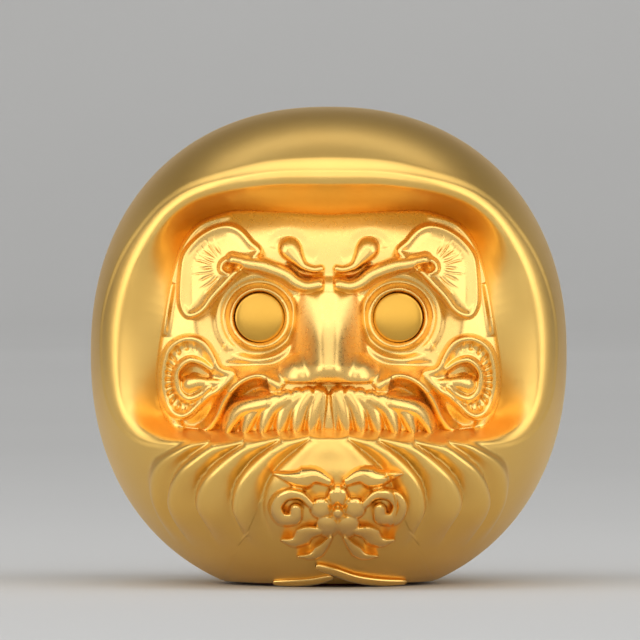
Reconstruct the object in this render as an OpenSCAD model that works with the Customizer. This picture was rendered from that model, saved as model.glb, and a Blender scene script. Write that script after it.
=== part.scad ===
// Daruma doll: a hollow, gold-plated brass ornament that stands on a weighted foot.
// The origin is at the centre of the foot, +Z is up and the face looks along -Y.

/* [Body] */
// Width and depth of the body at its widest line
body_w = 60; // [50:1:75]
// Height of the widest line above the ground
waist_z = 29; // [24:1:35]
// Height of the crown above the widest line
crown_h = 31.1; // [25.9:0.1:36.5]
// Radius of the foot where it meets the ground
foot_r = 12.5; // [10.5:0.1:15]
// Squareness of the outline, where 2 is an ellipse
body_n = 2.2; // [2:0.05:2.4]
// Thickness of the cast wall
wall = 2; // [1.6:0.1:2.4]

/* [Seam] */
// Distance of the seam behind the widest line
seam_y = 3; // [2:0.1:5]
// Length of the lap that joins the two halves
lap_len = 2; // [1.5:0.1:3]
// Diameter of each alignment dowel
dowel_d = 2; // [1.5:0.1:2.4]
// Length of each alignment dowel
dowel_l = 8; // [6:0.5:10]

/* [Face] */
// Width of the hood rim beside the face
hood_side = 9; // [8:0.5:11]
// Height of hood above the face
hood_top = 13.7; // [11:0.1:15]
// Height of the robe below the face
robe_h = 18; // [15:0.1:18.5]
// Squareness of the face opening
face_n = 4; // [3.7:0.1:4.4]
// Setback of the face behind the body's own curve
face_set = 8.5; // [7:0.1:10]
// Thickness of the face casting
face_t = 2; // [1.6:0.1:2.4]
// Width of the ledge that clamps the face from behind
ledge_w = 3; // [2.6:0.1:3.6]
// Width of the step inside the hood rim
rim_step_w = 4.5; // [3:0.1:5]
// Depth of the step inside the hood rim
rim_step_d = 2.5; // [1.5:0.1:3]
// Radius of the muzzle that carries the moustache
muzzle_r = 16; // [14:0.1:18]
// Radius of the tip of the nose
nose_r = 3.1; // [2.6:0.1:3.4]
// Radius of each nostril
nostril_r = 2.3; // [1.8:0.1:2.5]
// Distance of each nostril from the middle
nostril_x = 3.3; // [2.6:0.1:3.6]

/* [Eyes] */
// Diameter of each eye opening
eye_d = 6.2; // [5:0.1:6.8]
// Width of the raised lid around an eye
lid_w = 0.8; // [0.5:0.1:1.1]
// Width of the flange that keeps an eye in its socket
eye_flange_w = 1.2; // [0.9:0.1:1.4]
// Thickness of the flange
eye_flange_t = 1; // [0.8:0.1:1.3]
// Thickness of the retaining ring
retainer_t = 1; // [0.8:0.1:1.3]

/* [Applied castings] */
// Height of the brows above the face
brow_t = 2.2; // [1.5:0.1:2.8]
// Height of the cheek scrolls above the face
scroll_t = 2.8; // [2:0.1:3.4]
// Height of the moustache above the muzzle
moustache_t = 2.8; // [2:0.1:3.2]
// Height of the ornament above the belly
emblem_t = 0.9; // [0.6:0.1:1.2]
// Diameter of the pins that hold the castings
pin_d = 1.2; // [1:0.1:1.4]
// Depth of the robe's folds
fold_d = 0.8; // [0.4:0.1:1]
// Number of folds on each side of the robe
folds = 5; // [3:1:6]

/* [Foot] */
// Diameter of the plate that closes the foot
plate_d = 20; // [17:0.5:20]
// Thickness of the plate
plate_t = 2; // [1.6:0.1:2.6]
// Thickness of the felt pad
felt_t = 1; // [0.8:0.1:1.5]
// Gap between the cast foot and the ground
foot_gap = 0.4; // [0.2:0.1:0.6]
// Thickness of the cast floor above the plate
floor_t = 2; // [1.6:0.1:2.6]
// Diameter of the small screws
screw_d = 1.6; // [1.4:0.1:2]
// Diameter of the hem bead
hem_d = 1.3; // [1:0.1:1.6]

/* [Weight] */
// Space between the weight and the casting around it
weight_gap = 1.6; // [1.2:0.1:3]
// Height of the weight
weight_h = 7; // [5:0.5:9]
// Diameter of the bolt through the weight
bolt_d = 3; // [2.5:0.5:4]

/* [Fits] */
// Clearance around parts that drop into a seat
seat_clear = 0.15; // [0.1:0.05:0.25]
// Clearance around a pin, a dowel or a thread
pin_clear = 0.05; // [0.03:0.01:0.1]

/* [Hidden] */
$fn = 96;

eps = 0.01;
body_r = body_w / 2;
far = 2 * body_w;
gold = "#d8a94a";
pale_gold = "#e6c070";
steel = "#9a9da1";

// The lower half is the part of a superellipse that the ground cuts at foot_r.
lower_h = waist_z / pow(1 - pow(foot_r / body_r, body_n), 1 / body_n);

// The face opening, seen from the front.
face_hw = body_r - hood_side;
face_top = waist_z + crown_h - hood_top;
face_hh = (face_top - robe_h) / 2;
face_z = (face_top + robe_h) / 2;

// The face follows a ball as wide as the body, set back by face_set.
face_ball_r = body_r;
face_ball_z = waist_z - 1;
muzzle_set = 4.5;
muzzle_rise = 3;
muzzle_y = muzzle_set + muzzle_r - body_r;
muzzle_z = robe_h + muzzle_rise;

// The nose, with its place in half-heights above the middle of the face.
nose_v = -0.16;
nose_root = 0.4;
bridge_gap = 0.6;
bridge_lean = 6;
bridge_low_r = 0.77 * nose_r;
bridge_top_r = 0.48 * nose_r;

// Stack of the foot, from the ground up.
plate_z = felt_t;
floor_z = plate_z + plate_t;
weight_z = floor_z + floor_t;
weight_top_z = weight_z + weight_h;
weight_low_r = se_reach(body_r - wall, lower_h - wall, body_n, waist_z - weight_z) - weight_gap;
niche_low_z = robe_h - rim_step_w - wall;
weight_top_r = -ball_y(0, niche_low_z, face_ball_r) - weight_gap;
washer_t = 0.5;
nut_t = 2.4;
bolt_head_t = 1.2;
bolt_head_d = 2 * bolt_d - 0.4;
bolt_end = 1;
washer_d = 2.3 * bolt_d;
nut_d = 2.1 * bolt_d;
screw_head_d = 2 * screw_d;
screw_head_t = screw_d / 2;
screw_edge = 1.2;
base_screw_r = plate_d / 2 - screw_head_d / 2 - screw_edge;
base_screw_angles = [90, 210, 330];
tip_room_h = 1.5;
tip_room_d = screw_d + 1;
boss_wall = 1.2;
boss_r = dowel_d / 2 + boss_wall;
boss_l = 14;
boss_gap = 0.4;
dowel_inset = wall + boss_r + boss_gap;
dowel_angles = [-28, 58, 122, 208];
dowel_room = 0.5;
fold_w = 0.8;
groove_d = 0.7;
groove_w = 0.4;
pin_end = 0.6;
lid_h = 0.5;
lid_root = 2;
eye_dome = 0.4;
screw_bite = 2.5;
screw_room = 0.5;
screw_seat = 1;
screw_in_ledge = ledge_w * 0.55;
face_screw_angles = [45, 135, 225, 315];

// The two beads of the hem, let half-way into the foot.
hem_low_z = foot_gap + hem_d * 0.75;
hem_high_z = hem_low_z + hem_d * 1.25;

// Half-width of a superellipse of half-axes a and b at height h from its centre.
function se_reach(a, b, n, h) = a * pow(max(0, 1 - pow(abs(h) / b, n)), 1 / n);

// One point of a superellipse.
function se_point(a, b, n, t) = [
    a * sign(cos(t)) * pow(abs(cos(t)), 2 / n),
    b * sign(sin(t)) * pow(abs(sin(t)), 2 / n)
];

function se_outline(a, b, n, steps = 48) = [
    for (i = [0:steps - 1]) se_point(a, b, n, i * 360 / steps)
];

// Distance of the face's surface along Y at a point of the front view.
function ball_y(x, z, r) = face_set - sqrt(max(0, r * r - x * x - pow(z - face_ball_z, 2)));

// Place on the front view given in half-widths and half-heights of the face.
function on_face(p) = [p[0] * face_hw, face_z + p[1] * face_hh];

// A closed smooth outline through the given points.
function smooth(p, k = 4) = [
    for (i = [0:len(p) - 1])
        let (
            n = len(p),
            a = p[(i + n - 1) % n],
            b = p[i],
            c = p[(i + 1) % n],
            d = p[(i + 2) % n]
        )
        for (j = [0:k - 1])
            let (t = j / k)
            0.5 * (2 * b + (c - a) * t + (2 * a - 5 * b + 4 * c - d) * t * t
                + (3 * b - a - 3 * c + d) * t * t * t)
];

// Outlines on the left half of the face, in half-widths and half-heights from its centre.
brow_points = [
    [-0.06, 0.26], [-0.19, 0.30], [-0.35, 0.40], [-0.50, 0.45], [-0.61, 0.35],
    [-0.73, 0.17], [-0.85, 0.08], [-0.89, 0.23], [-0.90, 0.51], [-0.82, 0.76],
    [-0.66, 0.89], [-0.51, 0.87], [-0.42, 0.70], [-0.36, 0.55], [-0.18, 0.43], [-0.06, 0.35]
];
moustache_points = [
    [0, -0.60], [0.20, -0.60], [0.38, -0.65], [0.52, -0.75], [0.62, -0.90],
    [0.46, -0.91], [0.24, -0.90], [0, -0.88]
];
brow_curl = on_face([-0.56, 0.52]);
brow_rib_angles = [100:17:236];
brow_rib_from = 0.1 * face_hw;
brow_rib_l = 0.4 * face_hw;
moustache_pins = [[-0.28, -0.74], [0.28, -0.74]];
moustache_comb = on_face([0, 0.1]);
moustache_pin_l = 2;
moustache_comb_angles = [-60:8:60];
eye_place = on_face([-0.41, 0.11]);
scroll_place = on_face([-0.755, -0.45]);
scroll_r = 0.215 * face_hw;
scroll_groove = [0.4 * scroll_r, 0.66 * scroll_r];
scroll_notch_from = 0.82 * scroll_r;
scroll_pin_r = 0.5 * scroll_r;
emblem_place = [0, robe_h * 0.5];
emblem_r = robe_h * 0.15;
petal_r = 0.66 * emblem_r;
leaf_r = 1.5 * emblem_r;
leaf_x = 2.2 * emblem_r;
emblem_pin_x = 1.6 * emblem_r;
emblem_pin_depth = body_r * 0.34;
fold_from = 20;
fold_span = 45;
fold_step = fold_span / (folds - 1);
fold_root = body_r * 0.4;
fold_margin = 1.5;

// The outer pin of a brow has a place of its own, and the inner one stays clear of the eye's flange.
eye_y = ball_y(eye_place[0], eye_place[1], face_ball_r);
eye_depth = 2.8;
eye_seat_y = eye_y + eye_depth;
eye_flange_d = eye_d + 2 * eye_flange_w;
eye_back_y = eye_seat_y + eye_flange_t + retainer_t;
brow_pin_angle = 64;
brow_pin_gap = 0.2;
brow_pin_reach = (eye_flange_d + pin_d) / 2 + seat_clear + brow_pin_gap;
brow_pins = [
    on_face([-0.74, 0.48]),
    eye_place + brow_pin_reach * [cos(brow_pin_angle), sin(brow_pin_angle)]
];

// The body of revolution, shrunk by the given inset and cut flat at the given height.
module body_solid(inset = 0, from_z = foot_gap) {
    r = body_r - inset;
    up = crown_h - inset;
    down = lower_h - inset;
    // A shell that is too thin to reach from_z ends in a small flat instead.
    t0 = -asin(pow(min(0.9995, (waist_z - from_z) / down), body_n / 2));
    steps = 26;
    rotate_extrude()
        polygon([
            [0, waist_z + se_point(r, down, body_n, t0)[1]],
            for (i = [0:steps])
                let (
                    t = t0 + (90 - t0) * i / steps,
                    p = se_point(r, t < 0 ? down : up, body_n, t)
                )
                [i == steps ? 0 : p[0], waist_z + p[1]]
        ]);
}

// A ball that the face follows, with its radius grown by the given height.
module face_ball(grow = 0) {
    translate([0, face_set, face_ball_z])
        sphere(r = face_ball_r + grow);
}

module muzzle_ball(grow = 0) {
    translate([0, muzzle_y, muzzle_z])
        sphere(r = muzzle_r + grow);
}

// Pushes a front-view outline through the front half of the body.
module through_front(to_y = 0) {
    translate([0, to_y, 0])
        rotate([90, 0, 0])
            linear_extrude(far)
                children();
}

module opening(grow = 0) {
    translate([0, face_z])
        polygon(se_outline(face_hw + grow, face_hh + grow, face_n));
}

module half_space(front = true, y = seam_y) {
    translate([-far, front ? y - far : y, -far])
        cube([2 * far, far, 2 * far]);
}

module along_y(x, z, y0, y1, d) {
    translate([x, y1, z])
        rotate([90, 0, 0])
            cylinder(h = y1 - y0, d = d, $fn = 48);
}

module mirrored(right) {
    mirror([right ? 1 : 0, 0, 0])
        children();
}

// Places of the dowels on the seam, inside the lap.
function dowel_places() = [
    for (t = dowel_angles)
        let (p = se_point(body_r - dowel_inset, crown_h - dowel_inset, body_n, t))
        [p[0], waist_z + p[1]]
];

// Places of the face screws, on the middle of the ledge.
function face_screw_places() = [
    for (t = face_screw_angles)
        let (p = se_point(face_hw + screw_in_ledge, face_hh + screw_in_ledge, face_n, t))
        [p[0], face_z + p[1]]
];

function face_head_y(p) = ball_y(p[0], p[1], face_ball_r - face_t) - screw_seat;

// Posts that hold the dowels and run from one half's wall to the other's.
module dowel_bosses() {
    for (p = dowel_places())
        along_y(p[0], p[1], seam_y - boss_l, seam_y + boss_l, 2 * boss_r);
}

module dowel_holes() {
    for (p = dowel_places())
        along_y(
            p[0], p[1],
            seam_y - dowel_l / 2 - dowel_room, seam_y + dowel_l / 2 + dowel_room,
            dowel_d + 2 * pin_clear
        );
}

// What the foot needs cut out of both halves.
module foot_cuts() {
    translate([0, 0, -eps])
        cylinder(h = floor_z + eps, d = plate_d + 2 * seat_clear);
    cylinder(h = weight_z + eps, d = bolt_d + 2 * pin_clear);
    for (a = base_screw_angles)
        rotate(a)
            translate([base_screw_r, 0, floor_z - eps])
                cylinder(h = floor_t + 2 * eps, d = screw_d + 2 * pin_clear, $fn = 48);
    hem_bead(0, 360, hem_low_z, 2 * pin_clear);
    hem_bead(0, 360, hem_high_z, 2 * pin_clear);
}

// A round bead that runs round the foot.
module hem_bead(from, to, z, grow = 0) {
    r = se_reach(body_r, lower_h, body_n, waist_z - z);
    rotate(from)
        rotate_extrude(angle = to - from)
            translate([r, z])
                circle(d = hem_d + grow, $fn = 24);
}

// Folds that fan down the front of the robe, cut to an even depth.
module fold_grooves() {
    low = hem_high_z + hem_d;
    difference() {
        for (side = [-1, 1], i = [0:folds - 1])
            rotate(-90 + side * (fold_from + i * fold_step))
                translate([fold_root, -fold_w / 2, low])
                    cube([body_r, fold_w, robe_h - fold_margin - low]);
        body_solid(fold_d);
    }
}

// The hollow of the body, which goes round the niche and the dowel bosses.
module cavity() {
    difference() {
        body_solid(wall, weight_z);
        intersection() {
            through_front()
                opening(rim_step_w + wall);
            half_space(true, -wall);
        }
        dowel_bosses();
    }
}

module front_shell() {
    color(gold)
        difference() {
            union() {
                intersection() {
                    body_solid(0);
                    half_space(true);
                }
                intersection() {
                    body_solid(wall / 2 + seat_clear, weight_z);
                    half_space(true, seam_y + lap_len);
                    half_space(false, 0);
                }
            }
            cavity();
            intersection() {
                half_space(false);
                dowel_bosses();
            }
            face_ball();
            through_front()
                opening();
            difference() {
                through_front()
                    opening(rim_step_w);
                body_solid(rim_step_d);
            }
            fold_grooves();
            foot_cuts();
            dowel_holes();
            for (p = face_screw_places())
                along_y(
                    p[0], p[1],
                    ball_y(p[0], p[1], face_ball_r) - screw_bite - screw_room, 0,
                    screw_d + 2 * pin_clear
                );
            emblem_pins(pin_clear);
        }
}

module back_shell() {
    color(gold)
        difference() {
            intersection() {
                body_solid(0);
                half_space(false);
            }
            cavity();
            intersection() {
                difference() {
                    body_solid(wall / 2, weight_z);
                    body_solid(wall + 0.2);
                }
                half_space(true, seam_y + lap_len + seat_clear);
            }
            foot_cuts();
            dowel_holes();
        }
}

module left_eye_axis(y0, y1, d) {
    along_y(eye_place[0], eye_place[1], y0, y1, d);
}

module face_plate() {
    color(gold)
        difference() {
            union() {
                intersection() {
                    difference() {
                        face_ball();
                        face_ball(-face_t);
                    }
                    through_front()
                        opening(ledge_w);
                }
                intersection() {
                    difference() {
                        muzzle_ball();
                        face_ball(-face_t);
                    }
                    through_front(muzzle_y)
                        opening(-seat_clear);
                }
                nose();
                for (right = [false, true])
                    mirrored(right)
                        eye_mount();
            }
            muzzle_ball(-face_t);
            for (right = [false, true])
                mirrored(right) {
                    left_eye_axis(-far, 0, eye_d);
                    left_eye_axis(eye_seat_y, 0, eye_flange_d + 2 * seat_clear);
                    brow_pin_set(pin_clear);
                    scroll_pin_set(pin_clear);
                }
            moustache_pin_set(pin_clear);
            for (p = face_screw_places()) {
                along_y(p[0], p[1], -far, 0, screw_d + 2 * pin_clear);
                along_y(p[0], p[1], face_head_y(p), seam_y, screw_head_d + 2 * pin_clear);
            }
        }
}

// The raised lid in front of an eye, and the boss behind it that holds the eye.
module eye_mount() {
    intersection() {
        face_ball(lid_h);
        left_eye_axis(-far, eye_y + lid_root, eye_d + 2 * lid_w);
    }
    intersection() {
        face_ball();
        left_eye_axis(eye_y, eye_back_y, eye_flange_d + 2 * lid_w);
    }
}

// A round nose with two nostrils, whose bridge stops below the brows.
module nose() {
    place = on_face([0, nose_v]);
    root_y = ball_y(0, place[1], face_ball_r);
    bridge_h = (brow_points[0][1] - nose_v) * face_hh - bridge_gap;
    intersection() {
        union() {
            translate([0, root_y - nose_r, place[1]])
                sphere(r = nose_r, $fn = 48);
            for (side = [-1, 1])
                translate([side * nostril_x, root_y - nostril_r * 0.6, place[1] - nostril_r * 0.4])
                    sphere(r = nostril_r, $fn = 48);
            translate([0, root_y - nose_root, place[1]])
                rotate([-bridge_lean, 0, 0])
                    cylinder(h = bridge_h, r1 = bridge_low_r, r2 = bridge_top_r, $fn = 48);
        }
        half_space(true, root_y + face_t);
    }
}

// A polished dome whose flange is trapped behind the face.
module left_eye_solid() {
    dome_r = eye_d / 2 - pin_clear;
    intersection() {
        translate([eye_place[0], eye_y + dome_r, eye_place[1]])
            sphere(r = dome_r + eye_dome);
        left_eye_axis(-far, eye_seat_y + eye_flange_t, 2 * dome_r);
    }
    left_eye_axis(eye_y + dome_r, eye_seat_y + eye_flange_t, 2 * dome_r);
    left_eye_axis(eye_seat_y, eye_seat_y + eye_flange_t, eye_flange_d);
}

module left_eye() {
    color(pale_gold)
        left_eye_solid();
}

module right_eye() {
    color(pale_gold)
        mirrored(true)
            left_eye_solid();
}

module retainer_solid() {
    difference() {
        left_eye_axis(eye_seat_y + eye_flange_t, eye_back_y, eye_flange_d + seat_clear);
        left_eye_axis(eye_seat_y, eye_back_y + 1, eye_d);
    }
}

module left_eye_retainer() {
    color(gold)
        retainer_solid();
}

module right_eye_retainer() {
    color(gold)
        mirrored(true)
            retainer_solid();
}

// A casting of the given height that sits on the face and follows it.
module on_face_ball(height) {
    intersection() {
        difference() {
            face_ball(height);
            face_ball();
        }
        through_front()
            children();
    }
}

// Two round pins that run through the face behind a casting.
module face_pins(places, grow = 0) {
    for (q = places)
        along_y(
            q[0], q[1],
            ball_y(q[0], q[1], face_ball_r) - pin_end,
            ball_y(q[0], q[1], face_ball_r - face_t) + pin_end,
            pin_d + 2 * grow
        );
}

module brow_pin_set(grow = 0) {
    face_pins(brow_pins, grow);
}

module brow_solid() {
    difference() {
        on_face_ball(brow_t)
            polygon(smooth([for (p = brow_points) on_face(p)], 3));
        difference() {
            for (a = brow_rib_angles)
                translate([brow_curl[0], 0, brow_curl[1]])
                    rotate([0, -a, 0])
                        translate([brow_rib_from, -far, -groove_w / 2])
                            cube([brow_rib_l, far, groove_w]);
            face_ball(brow_t - groove_d);
        }
        left_eye_axis(-far, 0, eye_d + 2 * lid_w + 2 * seat_clear);
    }
    brow_pin_set();
}

module left_brow() {
    color(gold)
        brow_solid();
}

module right_brow() {
    color(gold)
        mirrored(true)
            brow_solid();
}

module scroll_pin_set(grow = 0) {
    face_pins([for (s = [-1, 1]) scroll_place + [0, s * scroll_pin_r]], grow);
}

// A whorl: a notched rim around a groove and a raised bead.
module scroll_solid() {
    difference() {
        on_face_ball(scroll_t)
            translate(scroll_place)
                circle(r = scroll_r);
        difference() {
            union() {
                through_front()
                    translate(scroll_place)
                        difference() {
                            circle(r = scroll_groove[1]);
                            circle(r = scroll_groove[0]);
                        }
                for (a = [90:20:270])
                    translate([scroll_place[0], 0, scroll_place[1]])
                        rotate([0, -a, 0])
                            translate([scroll_notch_from, -far, -groove_w / 2])
                                cube([scroll_r, far, groove_w]);
            }
            face_ball(scroll_t - groove_d);
        }
        muzzle_ball();
    }
    scroll_pin_set();
}

module left_cheek_scroll() {
    color(gold)
        scroll_solid();
}

module right_cheek_scroll() {
    color(gold)
        mirrored(true)
            scroll_solid();
}

module moustache_pin_set(grow = 0) {
    for (q = moustache_pins)
        let (p = on_face(q), y = muzzle_y - sqrt(pow(muzzle_r, 2) - pow(p[0], 2) - pow(p[1] - muzzle_z, 2)))
            along_y(p[0], p[1], y - pin_end, y + face_t + moustache_pin_l, pin_d + 2 * grow);
}

module moustache() {
    left = [for (i = [len(moustache_points) - 2:-1:1]) [-moustache_points[i][0], moustache_points[i][1]]];
    color(gold)
        union() {
            difference() {
                intersection() {
                    difference() {
                        muzzle_ball(moustache_t);
                        muzzle_ball();
                        face_ball();
                    }
                    through_front(muzzle_y)
                        polygon([for (p = concat(moustache_points, left)) on_face(p)]);
                }
                difference() {
                    for (a = moustache_comb_angles)
                        translate([moustache_comb[0], 0, moustache_comb[1]])
                            rotate([0, a, 0])
                                translate([-groove_w / 2, -far, -far])
                                    cube([groove_w, far, far]);
                    muzzle_ball(moustache_t - groove_d);
                }
            }
            moustache_pin_set();
        }
}

module emblem_pins(grow = 0) {
    for (side = [-1, 1])
        along_y(
            side * emblem_pin_x, emblem_place[1],
            -se_reach(body_r, lower_h, body_n, waist_z - emblem_place[1]),
            emblem_pin_depth - body_r, pin_d + 2 * grow
        );
}

// A five-petalled blossom between two sprays of leaves.
module belly_emblem() {
    color(pale_gold)
        union() {
            intersection() {
                difference() {
                    body_solid(-emblem_t);
                    body_solid(0);
                }
                through_front()
                    translate(emblem_place) {
                        for (a = [18:72:360])
                            rotate(a)
                                translate([emblem_r, 0])
                                    circle(r = petal_r, $fn = 48);
                        circle(r = emblem_r, $fn = 48);
                        for (side = [-1, 1])
                            translate([side * leaf_x, 0])
                                intersection() {
                                    translate([0, emblem_r])
                                        circle(r = leaf_r, $fn = 48);
                                    translate([0, -emblem_r])
                                        circle(r = leaf_r, $fn = 48);
                                }
                    }
            }
            emblem_pins();
        }
}

module left_hem_band() {
    color(gold)
        hem_bead(150, 271, hem_low_z);
}

module right_hem_band() {
    color(gold)
        hem_bead(266, 390, hem_high_z);
}

module face_screws() {
    color(steel)
        for (p = face_screw_places()) {
            along_y(p[0], p[1], ball_y(p[0], p[1], face_ball_r) - screw_bite, face_head_y(p) + eps, screw_d);
            along_y(p[0], p[1], face_head_y(p), face_head_y(p) + screw_head_t, screw_head_d);
        }
}

module seam_dowels() {
    color(steel)
        for (p = dowel_places())
            along_y(p[0], p[1], seam_y - dowel_l / 2, seam_y + dowel_l / 2, dowel_d);
}

module ballast_weight() {
    color("#6f7276")
        difference() {
            translate([0, 0, weight_z])
                cylinder(h = weight_h, r1 = weight_low_r, r2 = weight_top_r);
            translate([0, 0, weight_z - eps])
                cylinder(h = weight_h + 2 * eps, d = bolt_d + 2 * pin_clear);
            for (a = base_screw_angles)
                rotate(a)
                    translate([base_screw_r, 0, weight_z - eps])
                        cylinder(h = tip_room_h, d = tip_room_d, $fn = 48);
        }
}

module ballast_bolt() {
    color(steel)
        union() {
            translate([0, 0, plate_z])
                cylinder(h = bolt_head_t, d = bolt_head_d);
            translate([0, 0, plate_z])
                cylinder(h = weight_top_z + washer_t + nut_t + bolt_end - plate_z, d = bolt_d);
        }
}

module ballast_washer() {
    color(steel)
        translate([0, 0, weight_top_z])
            difference() {
                cylinder(h = washer_t, d = washer_d);
                translate([0, 0, -eps])
                    cylinder(h = washer_t + 2 * eps, d = bolt_d + 4 * pin_clear);
            }
}

module ballast_nut() {
    color(steel)
        translate([0, 0, weight_top_z + washer_t])
            difference() {
                cylinder(h = nut_t, d = nut_d, $fn = 6);
                translate([0, 0, -eps])
                    cylinder(h = nut_t + 2 * eps, d = bolt_d + 2 * pin_clear, $fn = 48);
            }
}

module base_plate() {
    color(gold)
        difference() {
            translate([0, 0, plate_z])
                cylinder(h = plate_t, d = plate_d);
            cylinder(h = floor_z + eps, d = bolt_d + 2 * pin_clear);
            cylinder(h = plate_z + bolt_head_t, d = bolt_head_d + 2 * pin_clear);
            for (a = base_screw_angles)
                rotate(a)
                    translate([base_screw_r, 0, 0]) {
                        cylinder(h = floor_z + eps, d = screw_d + 2 * pin_clear, $fn = 48);
                        cylinder(h = plate_z + screw_head_t, d = screw_head_d + 2 * pin_clear, $fn = 48);
                    }
        }
}

module base_screws() {
    color(steel)
        for (a = base_screw_angles)
            rotate(a)
                translate([base_screw_r, 0, plate_z]) {
                    cylinder(h = screw_head_t, d = screw_head_d, $fn = 48);
                    cylinder(h = plate_t + floor_t, d = screw_d, $fn = 48);
                }
}

module base_felt() {
    color("#8c1f22")
        cylinder(h = felt_t, d = plate_d - 2 * seat_clear);
}

front_shell();
back_shell();
face_plate();
left_eye();
right_eye();
left_eye_retainer();
right_eye_retainer();
left_brow();
right_brow();
left_cheek_scroll();
right_cheek_scroll();
moustache();
belly_emblem();
left_hem_band();
right_hem_band();
face_screws();
seam_dowels();
ballast_weight();
ballast_bolt();
ballast_washer();
ballast_nut();
base_plate();
base_screws();
base_felt();
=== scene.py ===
"""Looks of the daruma ornament: sculpted, gold-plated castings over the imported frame."""
import logging
import math
from dataclasses import dataclass, field
from enum import Enum
from typing import Dict, Optional, Sequence, Tuple, Union

import bpy
import numpy as np
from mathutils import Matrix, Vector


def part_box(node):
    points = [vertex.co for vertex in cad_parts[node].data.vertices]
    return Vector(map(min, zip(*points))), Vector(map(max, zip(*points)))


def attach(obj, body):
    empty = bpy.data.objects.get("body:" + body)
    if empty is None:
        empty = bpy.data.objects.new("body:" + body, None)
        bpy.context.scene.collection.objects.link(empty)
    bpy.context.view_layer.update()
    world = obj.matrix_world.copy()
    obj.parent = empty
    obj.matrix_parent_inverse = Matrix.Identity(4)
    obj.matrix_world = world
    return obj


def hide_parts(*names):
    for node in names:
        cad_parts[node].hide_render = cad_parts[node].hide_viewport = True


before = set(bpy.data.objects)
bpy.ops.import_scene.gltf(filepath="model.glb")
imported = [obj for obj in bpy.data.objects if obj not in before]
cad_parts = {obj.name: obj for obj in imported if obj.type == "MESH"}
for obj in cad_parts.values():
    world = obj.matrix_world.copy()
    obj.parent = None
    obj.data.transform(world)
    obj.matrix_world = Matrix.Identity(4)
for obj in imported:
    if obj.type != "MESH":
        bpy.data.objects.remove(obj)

Array = np.ndarray
Outline = Sequence[Tuple[float, float]]
Place = Tuple[float, float, float]
Setting = Union[float, Tuple[float, ...], bpy.types.NodeSocket]
LOG = logging.getLogger("daruma")
MM = 0.001
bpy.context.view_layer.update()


class Slot(Enum):
    """Material slots of the record."""

    SATIN = "satin_gold"
    POLISHED = "polished_gold"
    BRASS = "raw_brass"
    STEEL = "zinc_steel"
    IRON = "cast_iron"
    FELT = "felt"


class Side(Enum):
    """Half of the figure, by the sign of x."""

    LEFT = -1
    RIGHT = 1

    @property
    def word(self) -> str:
        """The side's word in the names of pieces and nodes."""
        return self.name.lower()


# ---------------------------------------------------------------- shapes in the front view


def box_mm(name: str) -> Tuple[Array, Array]:
    """Corners of a CAD node's box in millimetres.

    Args:
        name: The CAD node.

    Returns:
        The lowest and the highest corner.
    """
    low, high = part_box(name)
    return np.array(low) / MM, np.array(high) / MM


def smooth_line(points: Outline, closed: bool = False, steps: int = 5) -> Array:
    """A smooth line through the given points.

    Args:
        points: The points to pass through.
        closed: True if the line returns to its start.
        steps: Pieces between two neighbouring points.

    Returns:
        The line's points, one row each.
    """
    p = np.array(points, dtype=float)
    if closed:
        p = np.vstack([p[-1], p, p[0], p[1]])
    else:
        p = np.vstack([2 * p[0] - p[1], p, 2 * p[-1] - p[-2]])
    t = np.linspace(0, 1, steps, endpoint=False)[:, None]
    parts = []
    for a, b, c, d in zip(p, p[1:], p[2:], p[3:]):
        bend = (2 * a - 5 * b + 4 * c - d) * t**2
        twist = (3 * b - a - 3 * c + d) * t**3
        parts.append(0.5 * (2 * b + (c - a) * t + bend + twist))
    if not closed:
        parts.append(p[-2:-1])
    return np.vstack(parts)


def whole_outline(left: Outline, lift: float, steps: int = 5) -> Array:
    """A closed, smooth outline from its left half.

    Args:
        left: The left half, from the top of the middle line to its foot.
        lift: How far the outline is raised.
        steps: Pieces between two neighbouring points.

    Returns:
        The outline's points, one row each, without a repeat of the first.
    """
    half = smooth_line([(x, v + lift) for x, v in left], steps=steps)
    return np.vstack([half, half[-2:0:-1] * np.array([-1.0, 1.0])])


def nearest(x: Array, z: Array, line: Array, reach: float = 4.0) -> Tuple[Array, Array]:
    """Distance to a line, and how far along it the nearest point lies.

    Args:
        x: Places in the front view.
        z: Their heights.
        line: The line's points.
        reach: Distance beyond which nothing is worked out.

    Returns:
        The distance, and the share of the line's length from 0 to 1.
    """
    far = np.full(x.shape, 1e3)
    share = np.zeros(x.shape)
    low = line.min(axis=0) - reach
    high = line.max(axis=0) + reach
    inside = (x > low[0]) & (x < high[0]) & (z > low[1]) & (z < high[1])
    if not inside.any():
        return far, share
    px, pz = x[inside], z[inside]
    best = np.full(px.shape, 1e6)
    part = np.zeros(px.shape)
    steps = np.linalg.norm(np.diff(line, axis=0), axis=1)
    total = steps.sum()
    start = 0.0
    for a, b, length in zip(line, line[1:], steps):
        if length < 1e-9:
            continue
        d = (b - a) / length
        s = np.clip((px - a[0]) * d[0] + (pz - a[1]) * d[1], 0, length)
        gap = (px - a[0] - d[0] * s) ** 2 + (pz - a[1] - d[1] * s) ** 2
        nearer = gap < best
        best[nearer] = gap[nearer]
        part[nearer] = (start + s[nearer]) / total
        start += length
    far[inside] = np.sqrt(best)
    share[inside] = part
    return far, share


def depth_inside(x: Array, z: Array, outline: Array) -> Array:
    """Distance inside a closed outline, negative outside it.

    Args:
        x: Places in the front view.
        z: Their heights.
        outline: The outline's points, without a repeat of the first.

    Returns:
        The signed distance.
    """
    ring = np.vstack([outline, outline[:1]])
    gap, _ = nearest(x, z, ring, reach=1e3)
    odd = np.zeros(x.shape, dtype=bool)
    for (ax, az), (bx, bz) in zip(ring, ring[1:]):
        if az == bz:
            continue
        crosses = (az > z) != (bz > z)
        odd ^= crosses & (x < (bx - ax) * (z - az) / (bz - az) + ax)
    return np.where(odd, gap, -gap)


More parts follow.
